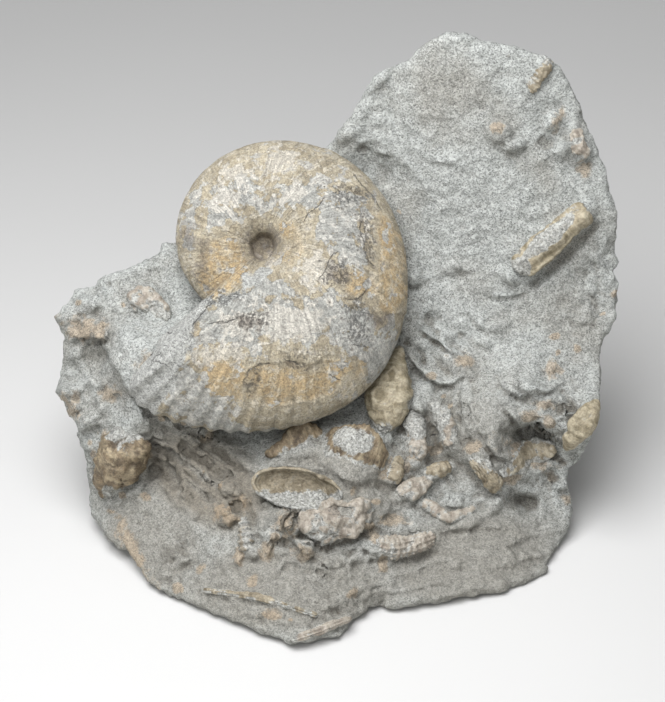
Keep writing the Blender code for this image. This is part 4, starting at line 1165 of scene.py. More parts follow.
@dataclass
class FrontRelief:
    """The height of the stone's front, pixel by pixel."""

    shells: Sequence[SmallShell]
    spot_softness: float = 14.0
    lump_roundness: float = 0.75
    mound_slope: float = 1.3
    mound_rounding: float = 1.8
    smooth: PictureMap = field(init=False)
    front: PictureMap = field(init=False)
    outline: PictureMap = field(init=False)
    tan_crumbs: PictureMap = field(init=False)

    def __post_init__(self) -> None:
        """Draws the maps."""
        self.smooth = PictureMap(self.through_spots)
        self.front = PictureMap(lambda x, y: self.smooth.values.copy())
        self.outline = PictureMap(lambda x, y: polygon_distance(x, y, OUTLINE))
        for dome in LUMPS + KNOBS:
            self.front.add([dome[:2]], max(dome[2:4]) + 1, partial(self.dome, dome=dome))
        for line, rise, reach in LEDGES:
            self.front.add(line, reach * 4, partial(self.ledge, line=line, rise=rise, reach=reach))
        for line, rise, width in RIDGES + [(line, -depth, width) for line, depth, width in CLEFTS]:
            self.front.add(line, width * 3, partial(self.ridge, line=line, rise=rise, width=width))
        self.strew()
        for shell in self.shells:
            middles = [station[:2] for station in shell.stations]
            self.front.add(middles, 60, partial(self.mound, shell=shell))
        self.front.add([BOWL[:2]], BOWL[2] + 1, self.bowl)
        # Old breaks are worn: each pixel takes on some of its neighbours' height
        for axis in (0, 1):
            values = self.front.values
            self.front.values = (np.roll(values, 1, axis) + 2.0 * values + np.roll(values, -1, axis)) / 4.0

    def through_spots(self, x: ndarray, y: ndarray) -> ndarray:
        """Lays a smooth surface through the spot heights.

        Args:
            x: Pixel columns.
            y: Pixel rows.

        Returns:
            Its height at each pixel.
        """
        spots = np.array(SPOT_HEIGHTS, float)

        def influence(px: ndarray, py: ndarray) -> ndarray:
            """How strongly each spot is felt at each place."""
            distance_squared = (px[..., None] - spots[:, 0]) ** 2 + (py[..., None] - spots[:, 1]) ** 2
            return np.sqrt(distance_squared + self.spot_softness**2)

        count = len(spots)
        plane = np.column_stack([np.ones(count), spots[:, 0], spots[:, 1]])
        system = np.zeros((count + 3, count + 3))
        system[:count, :count] = influence(spots[:, 0], spots[:, 1])
        system[:count, count:] = plane
        system[count:, :count] = plane.T
        weights = np.linalg.solve(system, np.append(spots[:, 2], np.zeros(3)))
        flat = weights[count] + weights[count + 1] * x + weights[count + 2] * y
        return influence(x, y) @ weights[:count] + flat

    def dome(self, x: ndarray, y: ndarray, dome: Dome) -> ndarray:
        """A rounded lump, or a hollow where its rise is negative."""
        return dome[5] * np.clip(1.0 - ellipse_distance(x, y, dome) ** 2, 0.0, 1.0) ** self.lump_roundness

    def ledge(self, x: ndarray, y: ndarray, line: Line, rise: float, reach: float) -> ndarray:
        """Raises a broken edge: high on its left-hand side, with a small furrow below it.

        Args:
            x: Pixel columns.
            y: Pixel rows.
            line: The edge.
            rise: How far it stands up midway, from where it tapers to nothing at both ends.
            reach: How far the rise is felt, in pixels.

        Returns:
            What is added to the height.
        """
        distance, side = line_distance(x, y, line)
        start, end = (np.hypot(x - line[index][0], y - line[index][1]) for index in (0, -1))
        rise = 1.5 * rise * 4.0 * start * end / (start + end) ** 2
        high = rise * np.exp(-distance / reach)
        low = rise * np.exp(-((distance / 0.9) ** 2)) - 0.2 * rise * np.exp(-(((distance - 2.5) / 2.5) ** 2))
        return np.where(side < 0.0, high, low)

    def ridge(self, x: ndarray, y: ndarray, line: Line, rise: float, width: float) -> ndarray:
        """A rounded ridge along a line, or a cleft where its rise is negative."""
        distance, _ = line_distance(x, y, line)
        return rise * np.exp(-((distance / width) ** 2))

    def strew(self) -> None:
        """Strews stones of many sizes over the front, the same in each run."""
        crumbs = PictureMap(lambda x, y: np.zeros(x.shape))
        self.tan_crumbs = PictureMap(lambda x, y: np.full(x.shape, -1.0))
        chance = np.random.default_rng(7)
        for region, count, (smallest, largest), rise, tan_share in CRUMBS:
            for _ in range(count):
                way, off = chance.uniform(0.0, 2.0 * pi), sqrt(chance.random())
                turn = radians(region[4])
                along, across = cos(way) * off * region[2], sin(way) * off * region[3]
                middle_x = region[0] + along * cos(turn) + across * sin(turn)
                middle_y = region[1] - along * sin(turn) + across * cos(turn)
                size = smallest * (largest / smallest) ** (chance.random() ** 1.4)
                flatness, angle = chance.uniform(0.5, 0.95), chance.uniform(-90.0, 90.0)
                height = rise * (size / largest) ** 0.8 * chance.uniform(0.5, 1.15)
                dome = (middle_x, middle_y, size, size * flatness, angle, height)
                crumbs.add([dome[:2]], size + 1, partial(self.chunk, dome=dome), np.maximum)
                if chance.random() < tan_share:
                    cover = partial(patch_cover, patches=[dome])
                    self.tan_crumbs.add([dome[:2]], size + 1, cover, np.maximum)
        self.front.values += crumbs.values

    def chunk(self, x: ndarray, y: ndarray, dome: Dome) -> ndarray:
        """Shapes a stone with a steep edge and a tilted, nearly flat top.

        Args:
            x: Pixel columns.
            y: Pixel rows.
            dome: Its place and size.

        Returns:
            Its height at each pixel.
        """
        inside = np.clip(1.0 - ellipse_distance(x, y, dome) ** 2, 0.0, 1.0)
        tilt = 1.0 + 0.35 * (y - dome[1]) / dome[2] * sin(dome[4] * 9.0)
        return dome[5] * np.minimum(inside * 2.0, 1.0) ** 0.8 * (0.6 + 0.4 * inside) * tilt

    def mound(self, x: ndarray, y: ndarray, shell: SmallShell) -> ndarray:
        """Raises the stone round a shell that is half sunk in it.

        Args:
            x: Pixel columns.
            y: Pixel rows.
            shell: The shell.

        Returns:
            What is added to the height.
        """
        top = np.full(x.shape, -1000.0)
        for near, far in zip(shell.stations, shell.stations[1:]):
            dx, dy = far[0] - near[0], far[1] - near[1]
            share = np.clip(((x - near[0]) * dx + (y - near[1]) * dy) / (dx * dx + dy * dy), 0.0, 1.0)
            distance = np.hypot(x - near[0] - share * dx, y - near[1] - share * dy) * SIGHT.mm_per_pixel
            rise, width, height = (a + share * (b - a) for a, b in zip(near[2:], far[2:]))
            crown = height * np.sqrt(np.clip(1.0 - (distance / width) ** 2, 0.0, 1.0))
            top = np.maximum(top, rise + crown - self.mound_slope * np.maximum(distance - width, 0.0))
        there = self.front.at(x, y)
        return smooth_max(there, self.smooth.at(x, y) + top - shell.bare, self.mound_rounding) - there

    def bowl(self, x: ndarray, y: ndarray) -> ndarray:
        """Lowers the front to a hollow in which the open valve lies.

        Args:
            x: Pixel columns.
            y: Pixel rows.

        Returns:
            What is added to the height.
        """
        inside = np.clip(1.0 - ellipse_distance(x, y, BOWL) ** 2, 0.0, 1.0)
        floor = self.lift(*BOWL[:2]) - BOWL[5] * np.sqrt(inside)
        return np.where(inside > 0.0, np.minimum(floor - self.front.at(x, y), 0.0), 0.0)

    def lift(self, x: float, y: float) -> float:
        """Height of the front at a pixel, without its lumps."""
        return float(self.smooth.at(np.array([x], float), np.array([y], float))[0])


@dataclass
class StoneBlock:
    """The block of stone: its front follows the relief, its sides and back are rough, its base is flat."""

    relief: FrontRelief
    finish: SandyLimestone = SandyLimestone()
    heart_pixel: tuple[float, float] = (368.0, 340.0)
    heart_height: float = -40.0
    farthest_surface: float = 260.0
    search_steps: int = 26
    roughening_step: int = 9
    side_taper: float = 0.34
    side_inset: float = 0.8
    edge_rounding: float = 5.0
    base_chamfer: float = 4.0
    base_chamfer_inset: float = 1.4
    side_roughness: float = 3.2
    side_roughness_scale: float = 26.0
    front_roughness: float = 0.7
    front_roughness_scale: float = 9.0
    front_skin: float = 10.0
    fineness: int = 7
    grain: float = 0.62
    triangles: int = 196000
    hidden_triangles: int = 46000
    closing_faces: tuple[tuple[tuple[float, float, float], float], ...] = (
        ((0.05, 1.00, 0.06), 66.0), ((0.62, 0.80, 0.05), 94.0), ((-0.70, 0.72, 0.15), 95.0),
        ((0.94, 0.30, -0.05), 103.0), ((-0.93, 0.30, -0.10), 99.0), ((0.10, 0.72, 0.70), 157.0),
        ((0.0, 0.0, -1.0), 5.0),
    )

    def depth(self, points: ndarray) -> ndarray:
        """How far each point lies behind the front."""
        x, y, height = SIGHT.picture_of(points)
        return self.relief.front.at(x, y) - height

    def seen(self, points: ndarray) -> ndarray:
        """1 on the front, falling to 0 on the sides and the back."""
        return np.clip(1.0 - self.depth(points) / self.front_skin, 0.0, 1.0)

    def roughness(self, points: ndarray) -> ndarray:
        """Works out how far the stone stands back: broken at the sides, fine on the front.

        Args:
            points: Places in space, one per row.

        Returns:
            One depth per point.
        """
        seen = self.seen(points)
        broken = fractal(points, self.side_roughness_scale, 1) * self.side_roughness
        fine = fractal(points, self.front_roughness_scale, 2) * self.front_roughness
        return broken * (1.0 - seen) + fine * seen

    def outside(self, points: ndarray, roughness: ndarray) -> ndarray:
        """Measures to the stone's surface.

        Args:
            points: Places in space, one per row.
            roughness: How far the surface stands back at each.

        Returns:
            The distance of each point outside it, negative inside.
        """
        x, y, height = SIGHT.picture_of(points)
        behind = self.relief.front.at(x, y) - height
        side = self.relief.outline.at(x, y) * SIGHT.mm_per_pixel + self.side_taper * np.maximum(behind, 0.0)
        value = smooth_max(-behind, side - self.side_inset, self.edge_rounding)
        for direction, reach in self.closing_faces:
            facing = np.array(Vector(direction).normalized())
            value = smooth_max(value, points @ facing - reach, self.edge_rounding)
        near_base = np.clip((self.base_chamfer - points[:, 2]) / self.base_chamfer, 0.0, 1.0)
        return value + self.base_chamfer_inset * near_base**2 + roughness

    def rough_out(self) -> Object:
        """Pushes a ball of points out from the stone's heart until each lies on the surface.

        Returns:
            The rough block.
        """
        bm = bmesh.new()
        bmesh.ops.create_icosphere(bm, subdivisions=self.fineness, radius=1.0)
        directions = np.array([vertex.co for vertex in bm.verts])
        directions /= np.linalg.norm(directions, axis=1)[:, None]
        heart = np.array(SIGHT.place(*self.heart_pixel, self.heart_height))
        near = np.zeros(len(directions))
        far = np.full(len(directions), self.farthest_surface)
        roughness = np.zeros(len(directions))
        for step in range(self.search_steps):
            if step == self.roughening_step:
                roughness = self.roughness(heart + directions * ((near + far) / 2)[:, None])
                near = np.maximum(near - 2 * self.side_roughness, 0.0)
                far = far + 2 * self.side_roughness
            middle = (near + far) / 2
            outside = self.outside(heart + directions * middle[:, None], roughness) > 0
            near = np.where(outside, near, middle)
            far = np.where(outside, middle, far)
        for vertex, place in zip(bm.verts, heart + directions * near[:, None]):
            vertex.co = Vector(place)
        return new_object("limestone_block", bm)

    def settle(self, points: ndarray, rounds: int = 3, probe: float = 0.15) -> ndarray:
        """Moves points onto the stone's surface, each by the shortest way.

        Args:
            points: Places near the surface.
            rounds: How often they are moved.
            probe: Step for measuring slopes, in millimetres.

        Returns:
            The places on the surface.
        """
        roughness = self.roughness(points)
        for _ in range(rounds):
            value = self.outside(points, roughness)
            slope = np.column_stack(
                [(self.outside(points + probe * axis, roughness) - value) / probe for axis in np.eye(3)]
            )
            steepness = np.maximum(np.einsum("ij,ij->i", slope, slope), 0.6)
            points = points - np.clip(value / steepness, -1.2, 1.2)[:, None] * slope
        return points

    def crumble(self, points: ndarray) -> ndarray:
        """Works out how far the stone's own grain of lumps moves each point.

        Args:
            points: Places on the surface.

        Returns:
            How far each point is moved outward, mostly below zero.
        """
        x, y, _ = SIGHT.picture_of(points)
        seen = self.seen(points)
        knobbly = seen * patch_share(x, y, KNOBBLY)
        rubbly = seen * patch_share(x, y, RUBBLY) * (1.0 - knobbly)
        plain = seen * (1.0 - knobbly) * (1.0 - rubbly)
        warped = points + 1.2 * np.column_stack([fractal(points, 7.0, seed, 3) for seed in (11, 12, 13)])
        reliefs = [pebbles(warped, size, seed) - level for size, seed, level in STONES]
        reliefs += [fractal(points, 5.0, 6) - 0.3, fractal(points, 2.0, 7, 3) - 0.3]
        move = np.zeros(len(points))
        for share, strengths in zip((knobbly, rubbly, plain, 1.0 - seen), GROUNDS.values()):
            move += share * sum(strength * relief for strength, relief in zip(strengths, reliefs))
        layers = fractal(points * np.array((0.2, 1.0, 1.0)), 3.0, 8, 3)
        move += 0.9 * seen * patch_share(x, y, BEDDED) * layers
        streaked = points - 0.82 * (points @ SPLINTERS_RUN)[:, None] * SPLINTERS_RUN
        splinters = 0.3 - 1.5 * np.abs(fractal(streaked, 4.5, 9, 3))
        move += 2.2 * seen * patch_share(x, y, SPLINTERED) * splinters
        return move

    def build(self) -> Object:
        """Builds the block, dresses it and puts it in the node's place.

        Returns:
            The block.
        """
        block = self.rough_out()
        one_skin(block, self.grain)
        points = self.settle(points_of(block.data))
        set_points(block.data, points)
        points = points + normals_of(block.data) * self.crumble(points)[:, None]
        set_points(block.data, held_in(points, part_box("matrix")))
        hidden = self.seen(points) < 0.3
        thin_out(block, 2 * np.count_nonzero(~hidden) + self.hidden_triangles, hidden)
        thin_out(block, self.triangles, self.seen(points_of(block.data)) >= 0.3)
        set_points(block.data, held_in(points_of(block.data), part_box("matrix")))
        self.colour(block.data)
        block.data.materials.append(self.finish.make())
        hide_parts("matrix")
        return block

    def colour(self, mesh: Mesh) -> None:
        """Paints the stone's colours: painted shade and dirt in the hollows, tan stains, the warm ground with
        its painted shade, and painted shade in the pits.

        Args:
            mesh: The block's mesh.
        """
        points = points_of(mesh)
        x, y, _ = SIGHT.picture_of(points)
        hidden = (1.0 - self.seen(points)) * 2.0
        rubble = patch_share(x, y, RUBBLY, 2.0)
        # Painted shade and dirt in the hollows, strongest on the rubble
        paint(mesh, "hollow", hollowness(mesh, 14, 1.0) * (0.3 + 0.2 * self.seen(points) + 0.5 * rubble))
        tan = np.maximum(patch_cover(x, y, TAN_STAINS), 1.4 * self.relief.tan_crumbs.at(x, y))
        paint(mesh, "tan", tan - hidden)
        # Warm ground, darkened as painted shade under the ammonite and on the feet
        warm_and_shaded = np.max([share * patch_share(x, y, [patch], 2.0) for patch, share in WARM_SHADED_GROUND], axis=0)
        paint(mesh, "warm_and_shaded", warm_and_shaded * self.seen(points))
        # Painted shade in the pits, hollows and clefts, none on the hidden sides
        paint(mesh, "pit_shade_and_stain", patch_cover(x, y, PIT_SHADE_AND_DARK_STAINS) - hidden)


# The ammonite

# The layers and stains that the ammonite shows, as outlines. The brown ones are partly stains and partly
# painted shade: in the umbilicus's hole and in thin strips along edges
AMMONITE_LAYERS: dict[str, tuple[Line, ...]] = {
    "grey": (
        ((339, 194), (352, 190), (362, 194), (372, 209), (366, 222), (362, 236), (365, 250), (372, 265),
         (366, 272), (348, 268), (341, 255), (336, 240), (334, 222), (336, 205)),
        ((320, 202), (336, 200), (339, 215), (338, 240), (330, 256), (322, 250), (318, 230)),
        ((203, 218), (214, 192), (238, 174), (258, 180), (262, 196), (282, 184), (322, 178), (334, 196),
         (306, 210), (276, 208), (240, 212), (214, 228)),
        ((244, 300), (250, 282), (262, 269), (272, 275), (292, 288), (300, 300), (270, 302)),
        ((202, 313), (224, 298), (246, 288), (300, 300), (330, 292), (345, 300), (372, 300), (378, 320),
         (376, 345), (350, 362), (335, 340), (307, 345), (264, 330), (262, 344), (208, 345), (190, 338)),
        ((369, 337), (392, 322), (399, 340), (392, 365), (378, 380), (369, 378)),
        ((177, 240), (190, 205), (200, 185), (206, 192), (196, 215), (190, 245), (182, 250)),
        ((170, 416), (165, 385), (185, 362), (199, 366), (205, 390), (224, 410), (260, 432), (300, 430),
         (230, 445)),
        ((252, 345), (263, 345), (263, 357), (252, 357)),
    ),
    "orange": (
        ((202, 245), (225, 236), (244, 250), (249, 268), (245, 285), (225, 293), (208, 296), (200, 275)),
        ((199, 366), (215, 358), (240, 362), (246, 375), (240, 393), (215, 397), (203, 388)),
        ((246, 375), (262, 366), (290, 363), (304, 370), (330, 362), (340, 375), (328, 392), (300, 404),
         (262, 404), (246, 396)),
        ((339, 360), (365, 360), (362, 374), (345, 374)),
        ((347, 270), (366, 272), (368, 290), (358, 299), (347, 297)),
        ((376, 270), (408, 262), (410, 300), (400, 312), (378, 311)),
        ((280, 225), (300, 225), (300, 250), (288, 261)), ((192, 326), (208, 326), (208, 344), (192, 344)),
        ((378, 215), (398, 230), (406, 262), (380, 262)),
    ),
    "chalk": (
        ((265, 177), (262, 160), (275, 148), (300, 150), (300, 170), (285, 176)),
        ((264, 306), (329, 306), (329, 330), (300, 345), (264, 340)),
        ((220, 164), (254, 164), (254, 177), (222, 180)), ((362, 221), (368, 222), (368, 236), (362, 236)),
        ((192, 350), (248, 342), (248, 358), (205, 366)), ((331, 365), (341, 366), (340, 376), (331, 376)),
        ((268, 249), (278, 250), (276, 262), (270, 270), (262, 268)),
        ((203, 200), (222, 182), (244, 190), (238, 206), (208, 212)),
        ((272, 200), (296, 184), (318, 190), (296, 204)), ((300, 262), (330, 250), (334, 280), (306, 290)),
        ((210, 320), (262, 306), (300, 318), (240, 338)),
    ),
    # Brown: stains, with painted shade in the umbilicus's hole and in strips along edges
    "brown_stain_and_shade": (
        ((250, 258), (246, 246), (252, 234), (262, 228), (274, 232), (279, 244), (275, 254), (262, 262)),
        ((200, 240), (205, 240), (206, 285), (200, 283)), ((372, 315), (388, 317), (388, 326), (374, 328)),
        ((330, 269), (347, 272), (345, 282), (332, 281)), ((237, 320), (262, 323), (260, 328), (238, 327)),
        ((287, 360), (297, 361), (297, 365), (288, 364)), ((182, 230), (190, 228), (192, 246), (184, 248)),
    ),
    "broken": (
        ((322, 262), (345, 262), (352, 285), (330, 290)), ((344, 306), (364, 300), (370, 336), (352, 344)),
        ((238, 312), (266, 312), (268, 326), (242, 328)), ((284, 356), (306, 358), (306, 368), (286, 368)),
        ((243, 384), (256, 370), (264, 380), (250, 396)), ((360, 214), (370, 214), (374, 262), (364, 262)),
        ((200, 300), (216, 292), (246, 296), (226, 306)), ((330, 186), (362, 184), (366, 200), (338, 206)),
    ),
    "stone": (
        ((85, 290), (100, 350), (110, 372), (125, 400), (150, 420), (172, 392), (184, 364), (193, 340),
         (196, 324), (206, 312), (216, 300), (236, 289), (250, 274), (262, 268), (272, 274), (252, 290),
         (228, 306), (200, 296)),
    ),
}

# Fine cracks and edges of missing skin, drawn as dark lines of painted shade
AMMONITE_CRACKS: tuple[Line, ...] = (
    ((304, 221), (309, 213), (317, 207), (325, 199)), ((319, 280), (328, 265), (330, 258), (336, 252)),
    ((244, 380), (250, 370), (260, 364), (270, 363)), ((287, 360), (297, 363), (304, 367)),
    ((210, 323), (228, 322), (243, 316)), ((347, 299), (358, 300), (366, 290)),
    ((354, 175), (369, 192), (381, 209)), ((354, 345), (368, 347)), ((330, 376), (341, 380)),
    ((362, 217), (361, 236), (364, 245), (367, 259), (373, 265)), ((211, 303), (202, 313), (194, 324)),
    ((129, 318), (150, 328), (171, 333)), ((160, 354), (152, 361), (166, 364)),
)

# Flakes of skin that stand up, or are missing: the outline and how far they rise in millimetres
AMMONITE_FLAKES: tuple[tuple[Line, float], ...] = (
    (((318, 150), (360, 150), (420, 200), (430, 312), (395, 314), (377, 311), (376, 290), (374, 268),
     (368, 246), (368, 222), (372, 209), (362, 194), (350, 188), (337, 185), (326, 178)), 0.45),
    (((286, 356), (297, 352), (307, 345), (323, 339), (331, 345), (332, 352), (323, 359), (309, 365),
     (302, 362), (294, 360)), 0.5),
    (((244, 383), (249, 372), (261, 365), (287, 362), (304, 368), (330, 360), (345, 374), (335, 392),
     (300, 402), (262, 404), (246, 396)), -0.5),
    (((347, 268), (366, 272), (367, 288), (358, 299), (347, 298), (342, 284)), 0.45),
    (((194, 322), (228, 322), (243, 316), (262, 318), (262, 344), (215, 345), (190, 342)), -0.4),
    (((265, 177), (262, 160), (275, 148), (300, 150), (300, 170), (285, 176)), 0.25),
    (((244, 300), (250, 282), (262, 269), (272, 275), (292, 288), (300, 300), (270, 302)), 0.5),
)


@dataclass
class Ammonite:
    """The coiled shell. Angles run from the umbilicus's left over its top. The far flank mirrors the near."""

    finish: WeatheredCalcite = WeatheredCalcite()
    umbilicus_pixel: tuple[float, float] = (263.0, 250.0)
    umbilicus_height: float = 9.0
    axis_tilt_up: float = radians(9.0)
    first_radius: float = 29.0
    whorl_growth: float = 0.155
    last_angle: float = radians(317.0)
    whorls_modelled: float = 1.9
    umbilicus_share: float = 0.055
    half_width_share: float = 0.405
    half_width_share_at_end: float = 0.31
    narrowing_starts: float = radians(180.0)
    shoulder_skew: float = 0.22
    umbilical_steepness: float = 0.7
    chamber_swell: float = 0.075
    chamber_swell_angle: float = radians(230.0)
    chamber_swell_spread: float = radians(32.0)
    rib_height: float = 0.7
    rib_spacing: float = radians(5.6)
    rib_sweep: float = 0.35
    ribs_start: float = radians(246.0)
    ribs_fade_in: float = 0.75
    ribs_reach_in: float = 0.5
    end_rounding: float = radians(7.0)
    rings: int = 900
    ring_points: int = 132
    grain: float = 0.52
    triangles: int = 196000

    # The umbilicus in millimetres: the hole's radius, its wall's width, its depth, and the funnel round it
    hole: tuple[float, float, float] = (4.0, 1.2, 7.6)
    funnel_radius: float = 11.0
    funnel_depth: float = 3.2
    core_half_length: float = 4.6
    core_radius: float = 5.4
    centre: Vector = field(init=False)
    axis: Vector = field(init=False)
    leftward: Vector = field(init=False)
    upward: Vector = field(init=False)

    def __post_init__(self) -> None:
        """Sets the coil's own directions."""
        self.centre = SIGHT.place(*self.umbilicus_pixel, self.umbilicus_height)
        to_eye = (SIGHT.eye - self.centre).normalized()
        self.axis = Matrix.Rotation(-self.axis_tilt_up, 3, SIGHT.right) @ to_eye
        self.leftward = (self.axis.dot(SIGHT.right) * self.axis - SIGHT.right).normalized()
        self.upward = self.leftward.cross(self.axis)

    def radius(self, angle: float) -> float:
        """Distance from the coil's axis to the outer edge at an angle along the spiral."""
        swell = exp(-(((angle - self.chamber_swell_angle) / self.chamber_swell_spread) ** 2))
        return self.first_radius * exp(self.whorl_growth * angle) * (1.0 + self.chamber_swell * swell)

    def section(self, angle: float) -> list[tuple[float, float]]:
        """Draws one cross-section of the tube.

        Args:
            angle: Where along the spiral.

        Returns:
            Pairs of distance from the axis and distance from the middle plane.
        """
        radius = self.radius(angle)
        seam = self.umbilicus_share * radius
        ripe = min(max((angle - self.narrowing_starts) / (self.last_angle - self.narrowing_starts), 0.0), 1.0)
        growth = self.half_width_share_at_end - self.half_width_share
        half_width = radius * (self.half_width_share + growth * ripe)
        ribbed = min(max(angle - self.ribs_start, 0.0) / self.ribs_fade_in, 1.0)
        past = max(0.0, 1.0 - (self.last_angle - angle) / self.end_rounding)
        closing = sqrt(1.0 - 0.75 * past**2)
        pairs = []
        for step in range(self.ring_points):
            turn = 2.0 * pi * step / self.ring_points
            outward = (1.0 + cos(turn)) / 2.0
            fullness = abs(sin(turn)) ** (self.umbilical_steepness if outward < 0.5 else 1.0)
            width = copysign(half_width * fullness, sin(turn)) * (1.0 - self.shoulder_skew * cos(turn))
            reach = seam + (radius - seam) * (0.5 + (outward - 0.5) * closing)
            phase = (angle + self.rib_sweep * (1.0 - outward)) / self.rib_spacing * 2.0 * pi
            share = max(0.0, outward - self.ribs_reach_in) / (1.0 - self.ribs_reach_in)
            rise = self.rib_height * ribbed * share * cos(phase)
            pairs.append((reach + rise * cos(turn), width * closing + rise * sin(turn)))
        return pairs

    def coil(self) -> Object:
        """Sweeps the tube along its spiral and fuses its whorls to one skin.

        Returns:
            The bare shell.
        """
        first_angle = self.last_angle - self.whorls_modelled * 2.0 * pi
        rings = []
        for ring in range(self.rings + 1):
            angle = first_angle + (self.last_angle - first_angle) * ring / self.rings
            outward = self.leftward * cos(angle) + self.upward * sin(angle)
            section = self.section(angle)
            rings.append([self.centre + outward * reach + self.axis * width for reach, width in section])
        bm = solid_of_rings(rings)
        upright = self.axis.to_track_quat("Z", "Y").to_matrix().to_4x4()
        bmesh.ops.create_cone(
            bm, cap_ends=True, segments=64, radius1=self.core_radius, radius2=self.core_radius,
            depth=2.0 * self.core_half_length, matrix=Matrix.Translation(self.centre) @ upright,
        )
        shell = new_object("ammonite_shell", bm)
        one_skin(shell, self.grain)
        even = shell.modifiers.new("even", "SMOOTH")
        even.factor = 0.5
        even.iterations = 4
        bake_modifiers(shell)
        return shell

    def near_picture(self, points: ndarray) -> tuple[ndarray, ndarray]:
        """Finds where points show in the picture, with the far flank folded onto the near one.

        Args:
            points: Places on the shell, one per row.

        Returns:
            Pixel columns and rows.
        """
        axis = np.array(self.axis)
        off_plane = (points - np.array(self.centre)) @ axis
        folded = points - 2.0 * np.minimum(off_plane, 0.0)[:, None] * axis
        x, y, _ = SIGHT.picture_of(folded)
        return x, y

    def coil_place(self, points: ndarray) -> ndarray:
        """Finds coordinates that run with the shell.

        Args:
            points: Places on the shell, one per row.

        Returns:
            How far along the spiral, outward and across each lies, in millimetres.
        """
        relative = points - np.array(self.centre)
        left, up = relative @ np.array(self.leftward), relative @ np.array(self.upward)
        reach = np.hypot(left, up)
        angle = np.arctan2(up, left) + self.rib_sweep * np.clip(1.0 - reach / 60.0, 0.0, 1.0)
        return np.column_stack([angle * 45.0, reach, relative @ np.array(self.axis)])

    def open_umbilicus(self, points: ndarray) -> ndarray:
        """Sinks a funnel and the hole of the umbilicus into both flanks.

        Args:
            points: Places on the shell, one per row.

        Returns:
            Where they lie then.
        """
        axis = np.array(self.axis)
        relative = points - np.array(self.centre)
        off_plane = relative @ axis
        reach = np.linalg.norm(relative - np.outer(off_plane, axis), axis=1)
        reach += 0.6 * fractal(points, 5.0, 24, 2)
        radius, wall, depth = self.hole
        standing = np.abs(off_plane)
        beside = standing - self.funnel_depth * np.exp(-((reach / self.funnel_radius) ** 2))
        beside = np.where(standing > self.core_half_length, beside, standing)
        rim = float(np.percentile(beside[(reach > radius + 1.5) & (reach < radius + 2.5)], 60))
        share = np.clip((radius + wall / 2 - reach) / wall, 0.0, 1.0)
        share = share * share * (3.0 - 2.0 * share)
        floor = rim - depth + 0.25 * reach
        sunk = beside + (floor - beside) * share
        return points + (np.sign(off_plane) * (sunk - standing))[:, None] * axis

    def flake_rise(self, x: ndarray, y: ndarray) -> ndarray:
        """Works out how far the skin stands up or is missing.

        Args:
            x: Pixel columns.
            y: Pixel rows.

        Returns:
            One height per place.
        """
        rise = np.zeros(len(x))
        for outline, height in AMMONITE_FLAKES:
            rise += height * np.clip(0.5 - polygon_distance(x, y, outline) / 1.6, 0.0, 1.0)
        return rise

    def build(self) -> Object:
        """Builds the shell, dresses it and puts it in the node's place.

        Returns:
            The shell.
        """
        shell = self.coil()
        thin_out(shell, self.triangles)
        mesh = shell.data
        points, normals = points_of(mesh), normals_of(mesh)
        x, y = self.near_picture(points)
        ragged = 3.0 * np.column_stack([fractal(points, 5.0, seed, 3) for seed in (21, 22)])
        move = self.flake_rise(x + ragged[:, 0], y + ragged[:, 1])
        move += 0.22 * fractal(points, 6.0, 23, 3) - 0.12
        stony = np.clip(0.5 - polygon_distance(x, y, AMMONITE_LAYERS["stone"][0]) / 8.0, 0.0, 1.0)
        move += stony * (1.5 * fractal(points, 9.0, 26, 4) + 0.8 * pebbles(points, 7.0, 27) - 0.6)
        points = self.open_umbilicus(points + normals * move[:, None])
        set_points(mesh, held_in(points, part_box("ammonite")))
        points = points_of(mesh)
        self.colour(mesh, points)
        mesh.materials.append(self.finish.make())
        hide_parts("ammonite")
        return shell

    def colour(self, mesh: Mesh, points: ndarray) -> None:
        """Paints the layers, the stains and the cracks, and the painted shade in the hollows.

        Args:
            mesh: The shell's mesh.
            points: Its points.
        """
        x, y = self.near_picture(points)
        for name, outlines in AMMONITE_LAYERS.items():
            depth = np.min([polygon_distance(x, y, outline) for outline in outlines], axis=0)
            paint(mesh, name, np.clip(-depth / 9.0, -1.0, 1.0))
        near = np.full(len(points), 4.0)
        side = near.copy()
        for crack in AMMONITE_CRACKS:
            distance, signed = line_distance(x, y, crack)
            closer = distance < near
            side = np.where(closer, signed, side)
            near = np.where(closer, distance, near)
        paint(mesh, "crack_near", near)
        paint(mesh, "crack_side", side)
        paint(mesh, "coil", self.coil_place(points))
        # Painted shade in the shell's hollows
        paint(mesh, "hollow", hollowness(mesh, 16, 1.2))


# The small shells

@dataclass(frozen=True)
class SmallShell:
    """A shell or broken piece: where it lies, how it is ribbed and what else marks it.

    Each station is x, y, rise of the middle line above the front, half width and half thickness.
    """

    name: str
    colour: ShellColour
    stations: Stations
    rings_apart: float = 2.0  # growth ridges across the piece, in millimetres
    ring_rise: float = 0.07
    ribs: int = 0  # ribs along the piece, all round it
    rib_rise: float = 0.0
    end_sharpness: float = 7.0
    rough: float = 0.5
    bare: float = 0.9  # how far it stands out of the stone round it, in millimetres
    coats: tuple[Patch, ...] = ()  # where stone still covers it
    marks: tuple[Dome, ...] = ()


